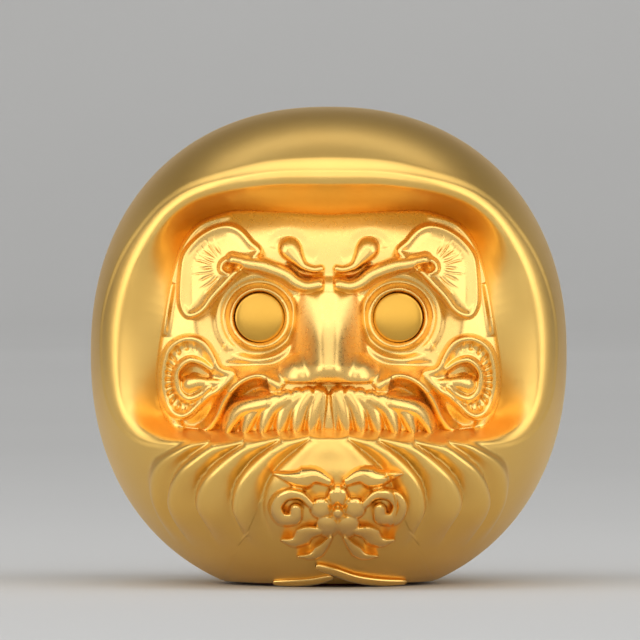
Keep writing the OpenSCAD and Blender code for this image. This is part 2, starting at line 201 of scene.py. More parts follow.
def higher(a: Array, b: Array, soft: float = 0.2) -> Array:
    """The higher of two heights, with a fillet between them."""
    return 0.5 * (a + b + np.sqrt((a - b) ** 2 + soft**2))


def ramp(v: Array, low: float, high: float) -> Array:
    """A soft step that is 0 at low and 1 at high."""
    t = np.clip((v - low) / (high - low), 0, 1)
    return t * t * (3 - 2 * t)


def hump(gap: Array, width: Union[float, Array], height: Union[float, Array]) -> Array:
    """A soft ridge, or a groove where the height is negative."""
    return height * np.exp(-((gap / width) ** 2))


# Outside its edge a casting drops this steeply, down to this depth under its seat.
DROP_SLOPE = 6.0
DROP_LIMIT = -2.6
# A height so far behind everything that it never shows.
FAR_BACK = -50.0


def bead(gap: Array, width: Union[float, Array], height: Union[float, Array]) -> Array:
    """A round bead that falls away steeply beside its edge.

    Args:
        gap: Distance from the bead's middle.
        width: Half of the bead's width.
        height: Height of its crest.

    Returns:
        The height, which is negative beyond the edge.
    """
    round_part = height * np.sqrt(np.clip(1 - (gap / width) ** 2, 0, 1))
    fall = np.maximum(DROP_LIMIT, -DROP_SLOPE * (gap - width))
    return np.where(gap < width, round_part, fall)


def slab(depth: Array, edge: float, height: Union[float, Array]) -> Array:
    """A flat casting with a rounded edge.

    Args:
        depth: Distance inside the outline.
        edge: Radius of the rounding.
        height: Height of the flat.

    Returns:
        The height, which is negative outside the outline.
    """
    t = 1 - np.clip(depth / edge, 0, 1)
    fall = np.maximum(DROP_LIMIT, DROP_SLOPE * depth)
    return np.where(depth > 0, height * np.sqrt(np.clip(1 - t * t, 0, 1)), fall)


# ---------------------------------------------------------------- meshes


def mesh_object(name: str, points: Array, faces: Array, inner: Place) -> bpy.types.Object:
    """A smooth-shaded object from points in millimetres.

    Args:
        name: Name of the piece.
        points: One row a vertex.
        faces: One row of vertex numbers a quad.
        inner: A point that the faces turn their backs to.

    Returns:
        The new object, with unused vertices left out.
    """
    used, index = np.unique(faces, return_inverse=True)
    points = points[used]
    faces = index.reshape(faces.shape)
    a, b, c = (points[faces[:, i]] for i in (0, 1, 2))
    d = points[faces[:, 3]]
    normal = np.cross(c - a, d - b)
    outward = np.einsum("ij,ij->i", normal, (a + c) / 2 - np.array(inner)).sum()
    if outward < 0:
        faces = faces[:, ::-1]
    mesh = bpy.data.meshes.new(name)
    mesh.vertices.add(len(points))
    mesh.vertices.foreach_set("co", (points * MM).astype(np.float32).ravel())
    mesh.loops.add(faces.size)
    mesh.loops.foreach_set("vertex_index", faces.astype(np.int32).ravel())
    mesh.polygons.add(len(faces))
    mesh.polygons.foreach_set("loop_start", np.arange(0, faces.size, 4, dtype=np.int32))
    mesh.update(calc_edges=True)
    mesh.validate()
    mesh.shade_smooth()
    piece = bpy.data.objects.new(name, mesh)
    bpy.context.scene.collection.objects.link(piece)
    return piece


def grid_faces(rows: int, columns: int, wrap: bool = False) -> Array:
    """Quads of a grid of vertices.

    Args:
        rows: Number of rows of vertices.
        columns: Number of vertices in a row.
        wrap: True if each row closes on itself.

    Returns:
        One row of four vertex numbers a quad.
    """
    r = np.arange(rows - 1)[:, None]
    c = np.arange(columns if wrap else columns - 1)[None, :]
    n = (c + 1) % columns
    corners = [r * columns + c, r * columns + n, (r + 1) * columns + n, (r + 1) * columns + c]
    return np.stack([k.ravel() for k in corners], axis=1)


def grid_object(
    name: str,
    points: Array,
    wrap: bool = False,
    keep: Optional[Array] = None,
    inner: Place = (0.0, 8.0, 29.0),
) -> bpy.types.Object:
    """An object from a grid of points.

    Args:
        name: Name of the piece.
        points: Rows by columns by three, in millimetres.
        wrap: True if each row closes on itself.
        keep: Which vertices stay; a quad stays if any corner of it does.
        inner: A point behind the surface.

    Returns:
        The new object.
    """
    rows, columns = points.shape[:2]
    faces = grid_faces(rows, columns, wrap)
    if keep is not None:
        faces = faces[keep.ravel()[faces].any(axis=1)]
    return mesh_object(name, points.reshape(-1, 3), faces, inner)


# ---------------------------------------------------------------- materials


def linear(code: str) -> Tuple[float, float, float, float]:
    """Linear colour of an sRGB hex code.

    Args:
        code: The code, such as "#e0b060".

    Returns:
        Red, green, blue and an opacity of 1.
    """
    parts = [int(code[i:i + 2], 16) / 255 for i in (1, 3, 5)]
    curve = [v / 12.92 if v <= 0.04045 else ((v + 0.055) / 1.055) ** 2.4 for v in parts]
    return curve[0], curve[1], curve[2], 1.0


def add_node(
    tree: bpy.types.NodeTree,
    kind: str,
    inputs: Optional[Dict[Union[str, int], Setting]] = None,
    **settings: object,
) -> bpy.types.Node:
    """Adds a node to a tree.

    Args:
        tree: The node tree.
        kind: The node's type.
        inputs: For each input, its value or the output that feeds it.
        **settings: The node's own properties.

    Returns:
        The new node.
    """
    made = tree.nodes.new(kind)
    for name, value in settings.items():
        setattr(made, name, value)
    for name, value in (inputs or {}).items():
        if isinstance(value, bpy.types.NodeSocket):
            tree.links.new(value, made.inputs[name])
        else:
            made.inputs[name].default_value = value
    return made


@dataclass(frozen=True)
class Finish:
    """A surface: its colours, its gloss and the grain that its making left."""

    name: str
    light: str
    dark: str
    metallic: float
    roughness: float
    spread: float
    grain_mm: float
    grain_depth_mm: float
    drift_mm: float = 14.0
    stretch: Tuple[float, float, float] = (1.0, 1.0, 1.0)

    def place(self, tree: bpy.types.NodeTree) -> bpy.types.NodeSocket:
        """The object's own coordinates, in metres, stretched along the grain.

        Args:
            tree: The material's node tree.

        Returns:
            The output that holds them.
        """
        where = add_node(tree, "ShaderNodeTexCoord")
        inputs = {"Vector": where.outputs["Object"], "Scale": self.stretch}
        return add_node(tree, "ShaderNodeMapping", inputs).outputs["Vector"]

    def grain(self, tree: bpy.types.NodeTree, place: bpy.types.NodeSocket) -> bpy.types.NodeSocket:
        """Height of the fine grain, from 0 to 1.

        Args:
            tree: The material's node tree.
            place: The coordinates that the grain is laid on.

        Returns:
            The output that holds it.
        """
        inputs = {"Vector": place, "Scale": 1 / (self.grain_mm * MM), "Detail": 3.0}
        return add_node(tree, "ShaderNodeTexNoise", inputs).outputs["Fac"]

    def build(self) -> bpy.types.Material:
        """Makes the material.

        Returns:
            The material, ready to put on a piece.
        """
        material = bpy.data.materials.new(self.name)
        material.use_nodes = True
        tree = material.node_tree
        tree.nodes.clear()
        place = self.place(tree)
        drift_inputs = {"Vector": place, "Scale": 1 / (self.drift_mm * MM), "Detail": 4.0}
        drift = add_node(tree, "ShaderNodeTexNoise", drift_inputs).outputs["Fac"]
        grain = self.grain(tree, place)
        # Noise seldom leaves the middle of its range, so that part is spread over the whole.
        stops = {"Value": drift, "From Min": 0.35, "From Max": 0.65}
        tone = add_node(tree, "ShaderNodeMapRange", stops).outputs["Result"]
        mixed = {"Factor": tone, 6: linear(self.light), 7: linear(self.dark)}
        colour = add_node(tree, "ShaderNodeMix", mixed, data_type="RGBA").outputs[2]
        gloss_inputs = {
            "Value": grain,
            "From Min": 0.3,
            "From Max": 0.7,
            "To Min": self.roughness - self.spread,
            "To Max": self.roughness + self.spread,
        }
        gloss = add_node(tree, "ShaderNodeMapRange", gloss_inputs).outputs["Result"]
        bump_inputs = {"Height": grain, "Strength": 1.0, "Distance": self.grain_depth_mm * MM}
        bump = add_node(tree, "ShaderNodeBump", bump_inputs).outputs["Normal"]
        surface = add_node(
            tree,
            "ShaderNodeBsdfPrincipled",
            {
                "Base Color": colour,
                "Metallic": self.metallic,
                "Roughness": gloss,
                "Normal": bump,
            },
        )
        self.extra(surface)
        add_node(tree, "ShaderNodeOutputMaterial", {"Surface": surface.outputs["BSDF"]})
        return material

    def extra(self, surface: bpy.types.Node) -> None:
        """Settings that only some finishes have, for the finish's own class to make."""


@dataclass(frozen=True)
class Felted(Finish):
    """Pressed wool, with loose fibres that catch the light at the edges."""

    sheen: float = 0.5
    sheen_roughness: float = 0.5

    def extra(self, surface: bpy.types.Node) -> None:
        """Adds the soft rim of the fibres."""
        surface.inputs["Sheen Weight"].default_value = self.sheen
        surface.inputs["Sheen Roughness"].default_value = self.sheen_roughness


# Gold plate over cast brass, blasted with fine glass beads: broad, silky highlights. The beads'
# pits are about 0.1 mm wide and are drawn coarser, so that they show at the size of the figure.
SATIN_GOLD = Finish(
    "satin_gold_plate_bead_blasted",
    "#f8cd74",
    "#f5c76c",
    metallic=1.0,
    roughness=0.36,
    spread=0.02,
    grain_mm=0.35,
    grain_depth_mm=0.0015,
)
# The same plate with less blasting on the chased relief: tighter, brighter highlights. The marks
# of the punches, about 0.2 mm wide, are drawn coarser too.
CHASED_GOLD = Finish(
    "satin_gold_plate_chased",
    "#facf7b",
    "#f7c873",
    metallic=1.0,
    roughness=0.29,
    spread=0.03,
    grain_mm=0.5,
    grain_depth_mm=0.0006,
)
# Gold plate burnished by hand: crisp highlights, with faint rubbing marks as wide as the tool's
# tip, about 0.6 mm.
POLISHED_GOLD = Finish(
    "gold_plate_burnished",
    "#facf7b",
    "#f7c873",
    metallic=1.0,
    roughness=0.25,
    spread=0.02,
    grain_mm=0.6,
    grain_depth_mm=0.0008,
)
# The eyes' gold plate, with a softer shine than the relief; its deeper, darker yellow is painted shade of
# the deep sockets.
SOCKET_SHADED_GOLD = Finish(
    "gold_plate_painted_socket_shade",
    "#e0ad4c",
    "#dca744",
    metallic=1.0,
    roughness=0.3,
    spread=0.02,
    grain_mm=0.5,
    grain_depth_mm=0.0008,
)
# Turned brass under clear lacquer: a warm, slightly greener metal with fine turning lines. The
# tool's feed is about 0.1 mm, and its lines are drawn 0.3 mm apart.
TURNED_BRASS = Finish(
    "brass_turned",
    "#e3c27e",
    "#d4ae66",
    metallic=1.0,
    roughness=0.28,
    spread=0.06,
    grain_mm=0.3,
    grain_depth_mm=0.006,
    stretch=(1, 1, 6),
)
# Steel screws with bright zinc plate: pale, slightly bluish and cloudy, with clouds of about 3 mm
# and crystals that are drawn coarser than the real ones.
ZINC_STEEL = Finish(
    "steel_zinc_plated",
    "#c9cdd2",
    "#b4b9bf",
    metallic=1.0,
    roughness=0.34,
    spread=0.08,
    grain_mm=0.4,
    grain_depth_mm=0.01,
    drift_mm=3.0,
)
# Grey cast iron as it left the sand, waxed: dark, grainy and dull. Moulding sand is 0.2 to 0.3 mm,
# and clumps of it are drawn.
CAST_IRON = Finish(
    "iron_sand_cast",
    "#5d5e62",
    "#45464a",
    metallic=0.8,
    roughness=0.6,
    spread=0.1,
    grain_mm=0.7,
    grain_depth_mm=0.08,
    drift_mm=5.0,
)
# Pressed wool felt: a soft, matt mat of crimped fibres. A fibre is 0.03 mm thick, so tufts of
# fibres are drawn.
WOOL_FELT = Felted(
    "wool_felt_pressed",
    "#8c1f22",
    "#6e1518",
    metallic=0.0,
    roughness=0.95,
    spread=0.04,
    grain_mm=0.25,
    grain_depth_mm=0.12,
    drift_mm=2.0,
)
# Matt paper of a photographer's roll: even and quite without shine.
STUDIO_PAPER = Finish(
    "paper_matt",
    "#cacac9",
    "#c7c7c6",
    metallic=0.0,
    roughness=0.9,
    spread=0.03,
    grain_mm=1.0,
    grain_depth_mm=0.02,
    drift_mm=400.0,
)


class Workshop:
    """Makes each finish once and puts it on the pieces."""

    def __init__(self) -> None:
        """Starts with no material made."""
        self.made: Dict[str, bpy.types.Material] = {}

    def material(self, finish: Finish) -> bpy.types.Material:
        """The material of a finish, made on first use.

        Args:
            finish: The finish.

        Returns:
            Its material.
        """
        if finish.name not in self.made:
            self.made[finish.name] = finish.build()
        return self.made[finish.name]

    def fit(self, piece: bpy.types.Object, finish: Finish, slot: Slot, *nodes: str) -> None:
        """Finishes a new piece and puts it in place of its CAD nodes.

        Args:
            piece: The piece.
            finish: Its surface.
            slot: The record's slot for it; not used.
            *nodes: The CAD nodes that it stands for.
        """
        piece.data.materials.append(self.material(finish))
        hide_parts(*nodes)
        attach(piece, "root")
        LOG.info("%s: %d faces, for %s", piece.name, len(piece.data.polygons), ", ".join(nodes))

    def dress(self, node: str, finish: Finish) -> None:
        """Gives a CAD node that stays its finish.

        Args:
            node: The CAD node.
            finish: Its surface.
        """
        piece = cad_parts[node]
        if not piece.material_slots:
            piece.data.materials.append(None)
        for holder in piece.material_slots:
            holder.material = self.material(finish)
        LOG.info("%s: CAD shape, %s", node, finish.name)


# ---------------------------------------------------------------- body


@dataclass
class Body:
    """The revolved body that both shells follow."""

    radius: float = 30.0
    crown_z: float = 59.1
    foot_z: float = 0.4
    waist_z: float = 29.0
    foot_r: float = 12.5
    squareness: float = 2.2
    seam_y: float = 3.0
    pocket_r: float = 10.15
    pocket_z: float = 3.0
    lip: float = 1.0

    @classmethod
    def from_frame(cls) -> "Body":
        """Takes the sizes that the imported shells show.

        Returns:
            The body.
        """
        front_low, front_high = box_mm("front_shell")
        back_low, _ = box_mm("back_shell")
        radius = (front_high[0] - front_low[0]) / 2
        return cls(
            radius=float(radius),
            crown_z=float(front_high[2]),
            foot_z=float(front_low[2]),
            seam_y=float(max(back_low[1], 0)),
        )

    @property
    def down(self) -> float:
        """Half-height of the lower half's curve, which the ground cuts at the foot."""
        cut = 1 - (self.foot_r / self.radius) ** self.squareness
        return self.waist_z / cut ** (1 / self.squareness)

    def half_height(self, dz: Array) -> Array:
        """Half-height of the curve above or below the waist."""
        return np.where(dz > 0, self.crown_z - self.waist_z, self.down)

    def reach(self, z: Array) -> Array:
        """Radius of the body at a height.

        Args:
            z: Heights above the ground.

        Returns:
            The radii, 0 above the crown.
        """
        dz = z - self.waist_z
        left = 1 - (np.abs(dz) / self.half_height(dz)) ** self.squareness
        return self.radius * np.clip(left, 0, 1) ** (1 / self.squareness)

    def front_y(self, x: Array, z: Array) -> Array:
        """Place along Y of the front of the body."""
        return -np.sqrt(np.maximum(self.reach(z) ** 2 - x**2, 0))

    def ray(self, x: Array, y: Array, z: Array) -> Array:
        """Distance from the waist's middle to the surface.

        Args:
            x: Directions, across.
            y: Directions, to the back.
            z: Directions, up.

        Returns:
            The distances.
        """
        flat = (np.hypot(x, y) / self.radius) ** self.squareness
        high = (np.abs(z) / self.half_height(z)) ** self.squareness
        return 1 / (flat + high) ** (1 / self.squareness)


# ---------------------------------------------------------------- face


# Outlines of the left half of the face, in millimetres from its middle.
PLATE_EDGE = [
    (0, 14.8), (-6.1, 15.1), (-11.3, 15.3), (-14.1, 14.7), (-16.5, 13.6), (-18.1, 11.7), (-19.4, 8.1),
    (-20.5, 2.1), (-21.3, -1.9), (-21.6, -6.0), (-21.2, -8.8), (-20.2, -11.0), (-18.6, -13.0),
    (-14.3, -14.2), (-6.3, -14.0), (0, -14.0),
]
COVE_EDGE = PLATE_EDGE[:12] + [(-17.2, -11.9), (-13.3, -12.0), (-9.0, -11.8), (-3.3, -11.5), (0, -11.4)]
HOOD_CREST = [
    (0, 18.6), (-7.3, 18.5), (-14.8, 17.2), (-18.9, 15.2), (-21.9, 12.1), (-24.4, 8.3), (-26.1, 3.7),
    (-26.7, -0.6), (-26.4, -6.0), (-25.4, -9.4), (-23.4, -11.8), (-20.6, -12.9), (-16.4, -13.0),
    (-12.0, -12.8), (-7.9, -12.5), (-3.0, -12.3), (0, -12.2),
]
BROW_FAN = [
    (-8.6, 10.1), (-9.7, 11.5), (-11.0, 12.9), (-12.5, 13.5), (-14.3, 13.2), (-16.0, 12.3), (-17.4, 11.0),
    (-18.3, 9.5), (-18.6, 7.6), (-18.7, 5.4), (-18.6, 3.5), (-17.9, 2.2), (-16.8, 2.1), (-15.5, 2.9),
    (-14.4, 4.4), (-13.2, 5.7), (-11.9, 7.1), (-11.1, 7.9),
]
BROW_HOOK = [(-12.7, 7.5), (-13.4, 7.9), (-13.3, 8.7), (-12.5, 9.2), (-11.3, 9.1)]
HOOK_HOLLOW = [(-12.6, 8.0), (-12.0, 8.3), (-11.2, 8.2)]
BROW_BAND = [
    (-12.0, 9.2), (-10.0, 8.7), (-8.5, 8.5), (-6.9, 8.0), (-5.3, 7.3), (-4.1, 6.4), (-2.8, 5.9), (-1.3, 6.1),
]
TEARDROP = [(-4.9, 10.6), (-4.5, 10.1), (-3.9, 9.3), (-3.1, 8.4), (-1.9, 8.0), (-1.0, 8.1)]
TEARDROP_VALLEY = [(-4.9, 9.2), (-3.9, 8.0), (-2.3, 7.1), (-0.9, 7.2)]
TEARDROP_HALO = [(-7.0, 10.6), (-6.6, 11.7), (-5.2, 12.2), (-3.6, 11.6), (-2.9, 10.0), (-1.6, 9.3)]
BAG_CREASE = [
    (-12.5, -3.9), (-9.1, -4.0), (-6.3, -3.4), (-4.2, -1.5), (-3.1, 0.7), (-2.7, 2.9), (-2.5, 4.4),
]
BAG_LINE = [(-11.9, -2.3), (-8.8, -2.6), (-6.4, -2.0), (-4.8, -0.6), (-3.9, 1.3), (-3.7, 3.0)]
SIDE_LOCK = [(-19.6, 6.3), (-20.0, 4.4), (-20.3, 2.6), (-20.5, 0.7), (-20.6, -0.4)]
EDGE_RIDGE = [
    (-12.2, 14.7), (-15.2, 13.9), (-16.9, 12.7), (-18.3, 10.7), (-19.2, 8.3), (-20.1, 5.2), (-20.6, 2.4),
    (-20.9, -0.3),
]
SCROLL_RIM = [
    (-11.9, -5.1), (-13.5, -4.2), (-14.4, -2.5), (-15.4, -1.1), (-16.9, -0.4), (-18.6, -0.6), (-20.1, -1.7),
    (-20.8, -3.4), (-21.1, -5.8), (-20.8, -8.0), (-19.9, -9.9), (-18.5, -10.6), (-17.3, -10.3),
    (-16.1, -9.2), (-14.8, -8.0), (-13.4, -7.1),
]
SCROLL_SHOE = [
    (-14.9, -4.5), (-16.1, -3.7), (-17.4, -3.4), (-18.5, -4.2), (-19.0, -5.6), (-18.7, -7.3), (-17.6, -8.2),
    (-16.2, -7.8), (-15.0, -6.8),
]
SCROLL_HOLLOW = [(-17.9, -5.2), (-17.2, -4.6), (-16.3, -4.6), (-15.3, -5.1)]
SCROLL_DROP = [(-17.4, -6.5), (-16.4, -6.3), (-15.2, -6.3), (-13.9, -6.2)]
CHEEK_FOLD = [
    (-5.8, -6.9), (-7.4, -5.7), (-8.8, -5.2), (-10.4, -5.7), (-11.8, -6.8), (-13.0, -8.3), (-13.9, -10.3),
    (-14.8, -11.9), (-15.9, -12.7),
]
CHEEK_HOLLOW = [(-7.5, -6.7), (-9.5, -7.1), (-11.0, -8.3), (-12.2, -9.9), (-13.4, -11.8), (-14.3, -13.0)]
CHEEK_VALLEY = [(-12.9, -7.1), (-13.8, -8.9), (-15.0, -10.3), (-16.4, -11.3), (-18.2, -11.7)]
# The pad under the locks crosses the middle line, so that no seam shows there.
MOUSTACHE_PAD = [
    (3.0, -7.0), (-3.5, -7.3), (-7.0, -8.4), (-9.2, -9.2), (-10.9, -10.8), (-12.0, -12.6), (-9.0, -12.4),
    (-4.0, -12.3), (3.0, -12.4),
]
PARTING_LOCK = [(-0.6, -7.6), (-0.9, -12.9)]
TUFTS = [
    [(-9.3, -8.5), (-8.3, -7.8), (-6.6, -7.5), (-5.3, -7.2)],
    [(-8.9, -9.1), (-7.4, -8.5), (-5.6, -7.9)],
]


@dataclass
class Face:
    """The face casting: a shallow ball with a muzzle, and the relief carved in it.

    The outlines are measured from the face's middle, which lies datum_drop under the middle of
    the plate. The jowls thicken the lower corners, over the tips of the screws.
    """

    middle_z: float = 31.3
    datum_drop: float = 0.5
    setback: float = 8.5
    ball_r: float = 30.0
    ball_z: float = 29.6
    muzzle_y: float = -9.5
    muzzle_z: float = 21.0
    muzzle_r: float = 16.0
    eye: Tuple[float, float] = (-8.6, 2.4)
    eye_r: float = 3.05
    jowl: Tuple[float, float] = (19.5, 18.5)
    jowl_r: float = 2.7
    jowl_lift: float = 4.2
    hidden_slope: float = 1.0
    step: float = 0.125

    @classmethod
    def from_frame(cls) -> "Face":
        """Takes the face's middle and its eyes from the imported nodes.

        Returns:
            The face.
        """
        low, high = box_mm("face_plate")
        middle = float(low[2] + high[2]) / 2 - cls.datum_drop
        eye_low, eye_high = box_mm("left_eye")
        spot = (eye_low + eye_high) / 2
        return cls(middle_z=middle, eye=(float(spot[0]), float(spot[2]) - middle))

    def seat_y(self, x: Array, z: Array) -> Array:
        """Place along Y of the plain face, before it is carved.

        Args:
            x: Places in the front view.
            z: Heights above the ground.

        Returns:
            The places along Y.
        """
        ball = np.sqrt(np.maximum(self.ball_r**2 - x**2 - (z - self.ball_z) ** 2, 0)) - self.setback
        inside = self.muzzle_r**2 - x**2 - (z - self.muzzle_z) ** 2
        muzzle = np.sqrt(np.maximum(inside, 0)) - self.muzzle_y
        jowl_gap = np.hypot(np.abs(x) - self.jowl[0], z - self.jowl[1])
        ball += hump(jowl_gap, self.jowl_r, self.jowl_lift)
        return -higher(ball, np.where(inside > 0, muzzle, FAR_BACK), 1.6)

    def relief(self, x: Array, z: Array) -> Array:
        """Height of the carving on the plain face.

        Args:
            x: Places in the front view.
            z: Heights above the ground.

        Returns:
            The heights towards the front.
        """
        v = z - self.middle_z
        u = -np.abs(x)
        ex, ez = self.eye
        r = np.hypot(u - ex, v - ez)
        # The eye lies in a wide hollow, with a rolled lid, a groove and a faint outer ring.
        h = -1.4 * ramp(-r, -8.6, -4.6) * ramp(-v, -9.5, -7.5)
        h += hump(r - 3.6, 0.42, 0.8) + hump(r - 4.4, 0.4, -0.35) + hump(r - 5.3, 0.6, 0.3)
        for line, width, depth in ((BAG_CREASE, 0.5, -0.75), (BAG_LINE, 0.45, -0.5)):
            gap, share = nearest(u, v, smooth_line(line))
            h += hump(gap, width, depth * np.sin(np.pi * np.clip(share * 0.9 + 0.1, 0, 1)) ** 0.5)
        for line, width, height in (
            (SIDE_LOCK, 0.55, 1.0),
            (EDGE_RIDGE, 0.45, 0.7),
            (TEARDROP_HALO, 0.6, -0.2),
            (TEARDROP_VALLEY, 0.55, -0.9),
            (CHEEK_FOLD, 0.85, 2.0),
            (CHEEK_HOLLOW, 1.2, -2.6),
            (CHEEK_VALLEY, 0.8, -0.9),
        ):
            gap, share = nearest(u, v, smooth_line(line))
            ends = np.clip(np.sin(np.pi * share), 0, 1) ** 0.35
            h += hump(gap, width, height * ends)
        for line in TUFTS:
            gap, _ = nearest(u, v, smooth_line(line))
            h = higher(h, hump(gap, 0.7, 4.0) - 3.2, 0.2)
        return higher(h, self.nose(x, v), 0.35)

    def nose(self, x: Array, v: Array) -> Array:
        """A broad nose with round wings and a flat underside.

        Args:
            x: Places in the front view.
            v: Heights above the middle of the face.

        Returns:
            The nose's height, far below the face where there is none.
        """
        # The bridge rises and widens from the brow down, and rounds off under the tip.
        along = np.clip((8.4 - v) / 12.4, 0, 1)
        across = np.abs(x) / (2.2 + 0.8 * along)
        tip = np.clip(1 - (np.minimum(v + 3.6, 0) / 2.9) ** 2, 0, 1) ** 0.5
        crest = (0.4 + 3.9 * along**1.15) * tip
        skirt = np.minimum(2.6, 0.25 * across**4)
        h = crest * np.exp(-(across**2.3)) - skirt
        h = (h - DROP_LIMIT) * ramp(-v, -9.4, -6.0) + DROP_LIMIT
        # The wings are low, round swellings beside the tip.
        for side in (-1, 1):
            inside = 1 - ((x - 3.5 * side) / 2.4) ** 2 - ((v + 4.9) / 2.2) ** 2
            h = higher(h, np.where(inside > -0.3, 0.1 + 1.6 * inside, DROP_LIMIT), 0.9)
        return (h - DROP_LIMIT) * ramp(v, -6.5, -5.9) + DROP_LIMIT

    def skin_y(self, x: Array, z: Array) -> Array:
        """Place along Y of the carved face."""
        return self.seat_y(x, z) - self.relief(x, z)

    def build(self, workshop: Workshop) -> None:
        """Makes the face plate.

        Args:
            workshop: Where its finish comes from.
        """
        edge = whole_outline(PLATE_EDGE, self.middle_z, steps=4)
        cove = whole_outline(COVE_EDGE, self.middle_z, steps=4)
        low, high = edge.min(axis=0) - 0.6, edge.max(axis=0) + 0.6
        x, z = np.meshgrid(
            np.arange(low[0], high[0], self.step), np.arange(low[1], high[1], self.step)
        )
        depth = depth_inside(x, z, edge)
        # What lies behind the cove leans back, so that it stays hidden.
        y = self.skin_y(x, z) + self.hidden_slope * np.clip(-depth_inside(x, z, cove), 0, 1.5)
        ex, ez = self.eye
        r = np.hypot(-np.abs(x) - ex, z - self.middle_z - ez)
        y = y - DROP_LIMIT * ramp(-r, -self.eye_r - 0.12, -self.eye_r + 0.12)
        y = y + np.clip(0.5 - depth, 0, 0.5) ** 2 * 1.6 + np.clip(-depth, 0, 0.6) * DROP_SLOPE
        piece = grid_object("face_plate_chased", np.stack([x, y, z], axis=2), keep=depth > -0.45)
        workshop.fit(piece, CHASED_GOLD, Slot.SATIN, "face_plate")


@dataclass
class Casting:
    """A casting that is seated on the face: a height over the plain face.

    Its edge goes root deep into the carved face, so that no gap shows round it.
    """

    face: Face
    side: Side
    step: float = 0.1
    root: float = 0.35

    def span(self) -> Tuple[float, float, float, float]:
        """Lowest and highest u and v that the left casting covers."""
        raise NotImplementedError

    def height(self, u: Array, v: Array) -> Array:
        """Height of the left casting at places from the middle of the face."""
        raise NotImplementedError

    def mesh(self, name: str) -> bpy.types.Object:
        """Builds the casting on its side of the face.

        Args:
            name: Name of the piece.

        Returns:
            The piece.
        """
        u0, u1, v0, v1 = self.span()
        u, v = np.meshgrid(np.arange(u0, u1, self.step), np.arange(v0, v1, self.step))
        h = self.height(u, v)
        x = u * -self.side.value
        z = v + self.face.middle_z
        y = self.face.seat_y(x, z) - h
        keep = y < self.face.skin_y(x, z) + self.root
        return grid_object(name, np.stack([x, y, z], axis=2), keep=keep & (h > DROP_LIMIT + 0.1))

    def build(self, workshop: Workshop, node: str) -> None:
        """Makes the casting and puts it in place of its CAD node."""
        workshop.fit(self.mesh(f"{node}_chased"), CHASED_GOLD, Slot.SATIN, node)


@dataclass
class Brow(Casting):
    """An eyebrow: a ribbed fan, a rolled band and a drop beside the bridge of the nose."""

    fan_height: float = 1.5
    fan_degrees: float = 150.0
    ribs: int = 12
    rib_height: float = 0.26

    def span(self) -> Tuple[float, float, float, float]:
        """The brow's extent, with room for its edge."""
        return -19.9, -0.25, 1.0, 14.6

    def height(self, u: Array, v: Array) -> Array:
        """Height of the brow.

        Args:
            u: Places across, negative to the left.
            v: Places up.

        Returns:
            The heights.
        """
        # The fan: a raised rim round a dished middle, with the ribs cut in it.
        depth = depth_inside(u, v, smooth_line(BROW_FAN, closed=True)) + 0.4
        h = slab(depth, 0.55, self.fan_height)
        h += hump(depth - 0.6, 0.45, 0.5) - 0.45 * ramp(depth, 0.8, 2.2)
        angle = np.degrees(np.arctan2(v - 8.2, u + 12.6)) % 360
        r = np.hypot(u + 12.6, v - 8.2)
        fan = ramp(angle, 104, 116) * ramp(-angle, -240, -228)
        # The ribs are cut by hand, so they waver and stop at uneven lengths.
        wavering = angle + 2 * np.sin(r * 1.7 + angle * 0.2)
        wave = 0.5 + 0.5 * np.cos(np.radians(wavering) * 360 / self.fan_degrees * self.ribs)
        reach = 4.0 + 0.8 * np.sin(angle * 0.5)
        fan = fan * ramp(r, 1.5, 2.3) * ramp(reach - r, 0, 1.2) * ramp(depth, 0.7, 1.3)
        h = np.where(depth > 0, h + self.rib_height * (wave**0.6 - 0.75) * fan, h)
        # The band over the eye, the hook that curls round its end, and the drop beside the nose.
        gap, share = nearest(u, v, smooth_line(BROW_BAND))
        width = 1.15 - 0.3 * np.abs(share - 0.35)
        h = higher(h, bead(gap, width, 2.7 - 0.5 * share), 0.25)
        gap, _ = nearest(u, v, smooth_line(BROW_HOOK))
        h = higher(h, bead(gap, 0.55, 2.1), 0.2)
        gap, _ = nearest(u, v, smooth_line(HOOK_HOLLOW))
        h += hump(gap, 0.4, -0.9) * (h > 0)
        gap, share = nearest(u, v, smooth_line(TEARDROP))
        width = 0.55 + 0.95 * np.exp(-((share / 0.4) ** 2))
        return higher(h, bead(gap, width, 2.1 - 0.7 * share), 0.2)


@dataclass
class CheekScroll(Casting):
    """A whorl on the cheek: a notched rim round a horseshoe with a drop in it."""

    rim_height: float = 1.5
    notches: int = 22
    notch_depth: float = 0.38

    def span(self) -> Tuple[float, float, float, float]:
        """The scroll's extent, with room for its edge."""
        return -22.3, -10.6, -11.9, 0.7

    def height(self, u: Array, v: Array) -> Array:
        """Height of the scroll.

        Args:
            u: Places across, negative to the left.
            v: Places up.

        Returns:
            The heights.
        """
        # A rim that tapers to the inner end, and the notches cut along the inside of it.
        depth = depth_inside(u, v, smooth_line(SCROLL_RIM, closed=True)) + 0.35
        taper = ramp(-u, 11.4, 14.5)
        h = slab(depth, 0.55, self.rim_height * (0.45 + 0.55 * taper))
        h += (hump(depth - 0.65, 0.45, 0.55) - 0.4 * ramp(depth, 0.9, 1.8)) * taper
        angle = np.arctan2(v + 5.8, u + 17.2)
        wave = 0.5 + 0.5 * np.cos(angle * self.notches)
        ring = ramp(depth, 0.9, 1.2) * ramp(-depth, -2.3, -1.8)
        h -= self.notch_depth * wave**2 * ring * ramp(np.abs(angle), 1.2, 1.6)
        # The horseshoe, the hollow in it and the drop.
        gap, _ = nearest(u, v, smooth_line(SCROLL_SHOE))
        h = higher(h, bead(gap, 0.72, 2.2), 0.25)
        gap, _ = nearest(u, v, smooth_line(SCROLL_HOLLOW))
        h += hump(gap, 0.6, -1.5) * (h > 0)
        gap, share = nearest(u, v, smooth_line(SCROLL_DROP))
        return higher(h, bead(gap, 1.3 - 0.6 * share, 2.3 - 0.7 * share), 0.25)


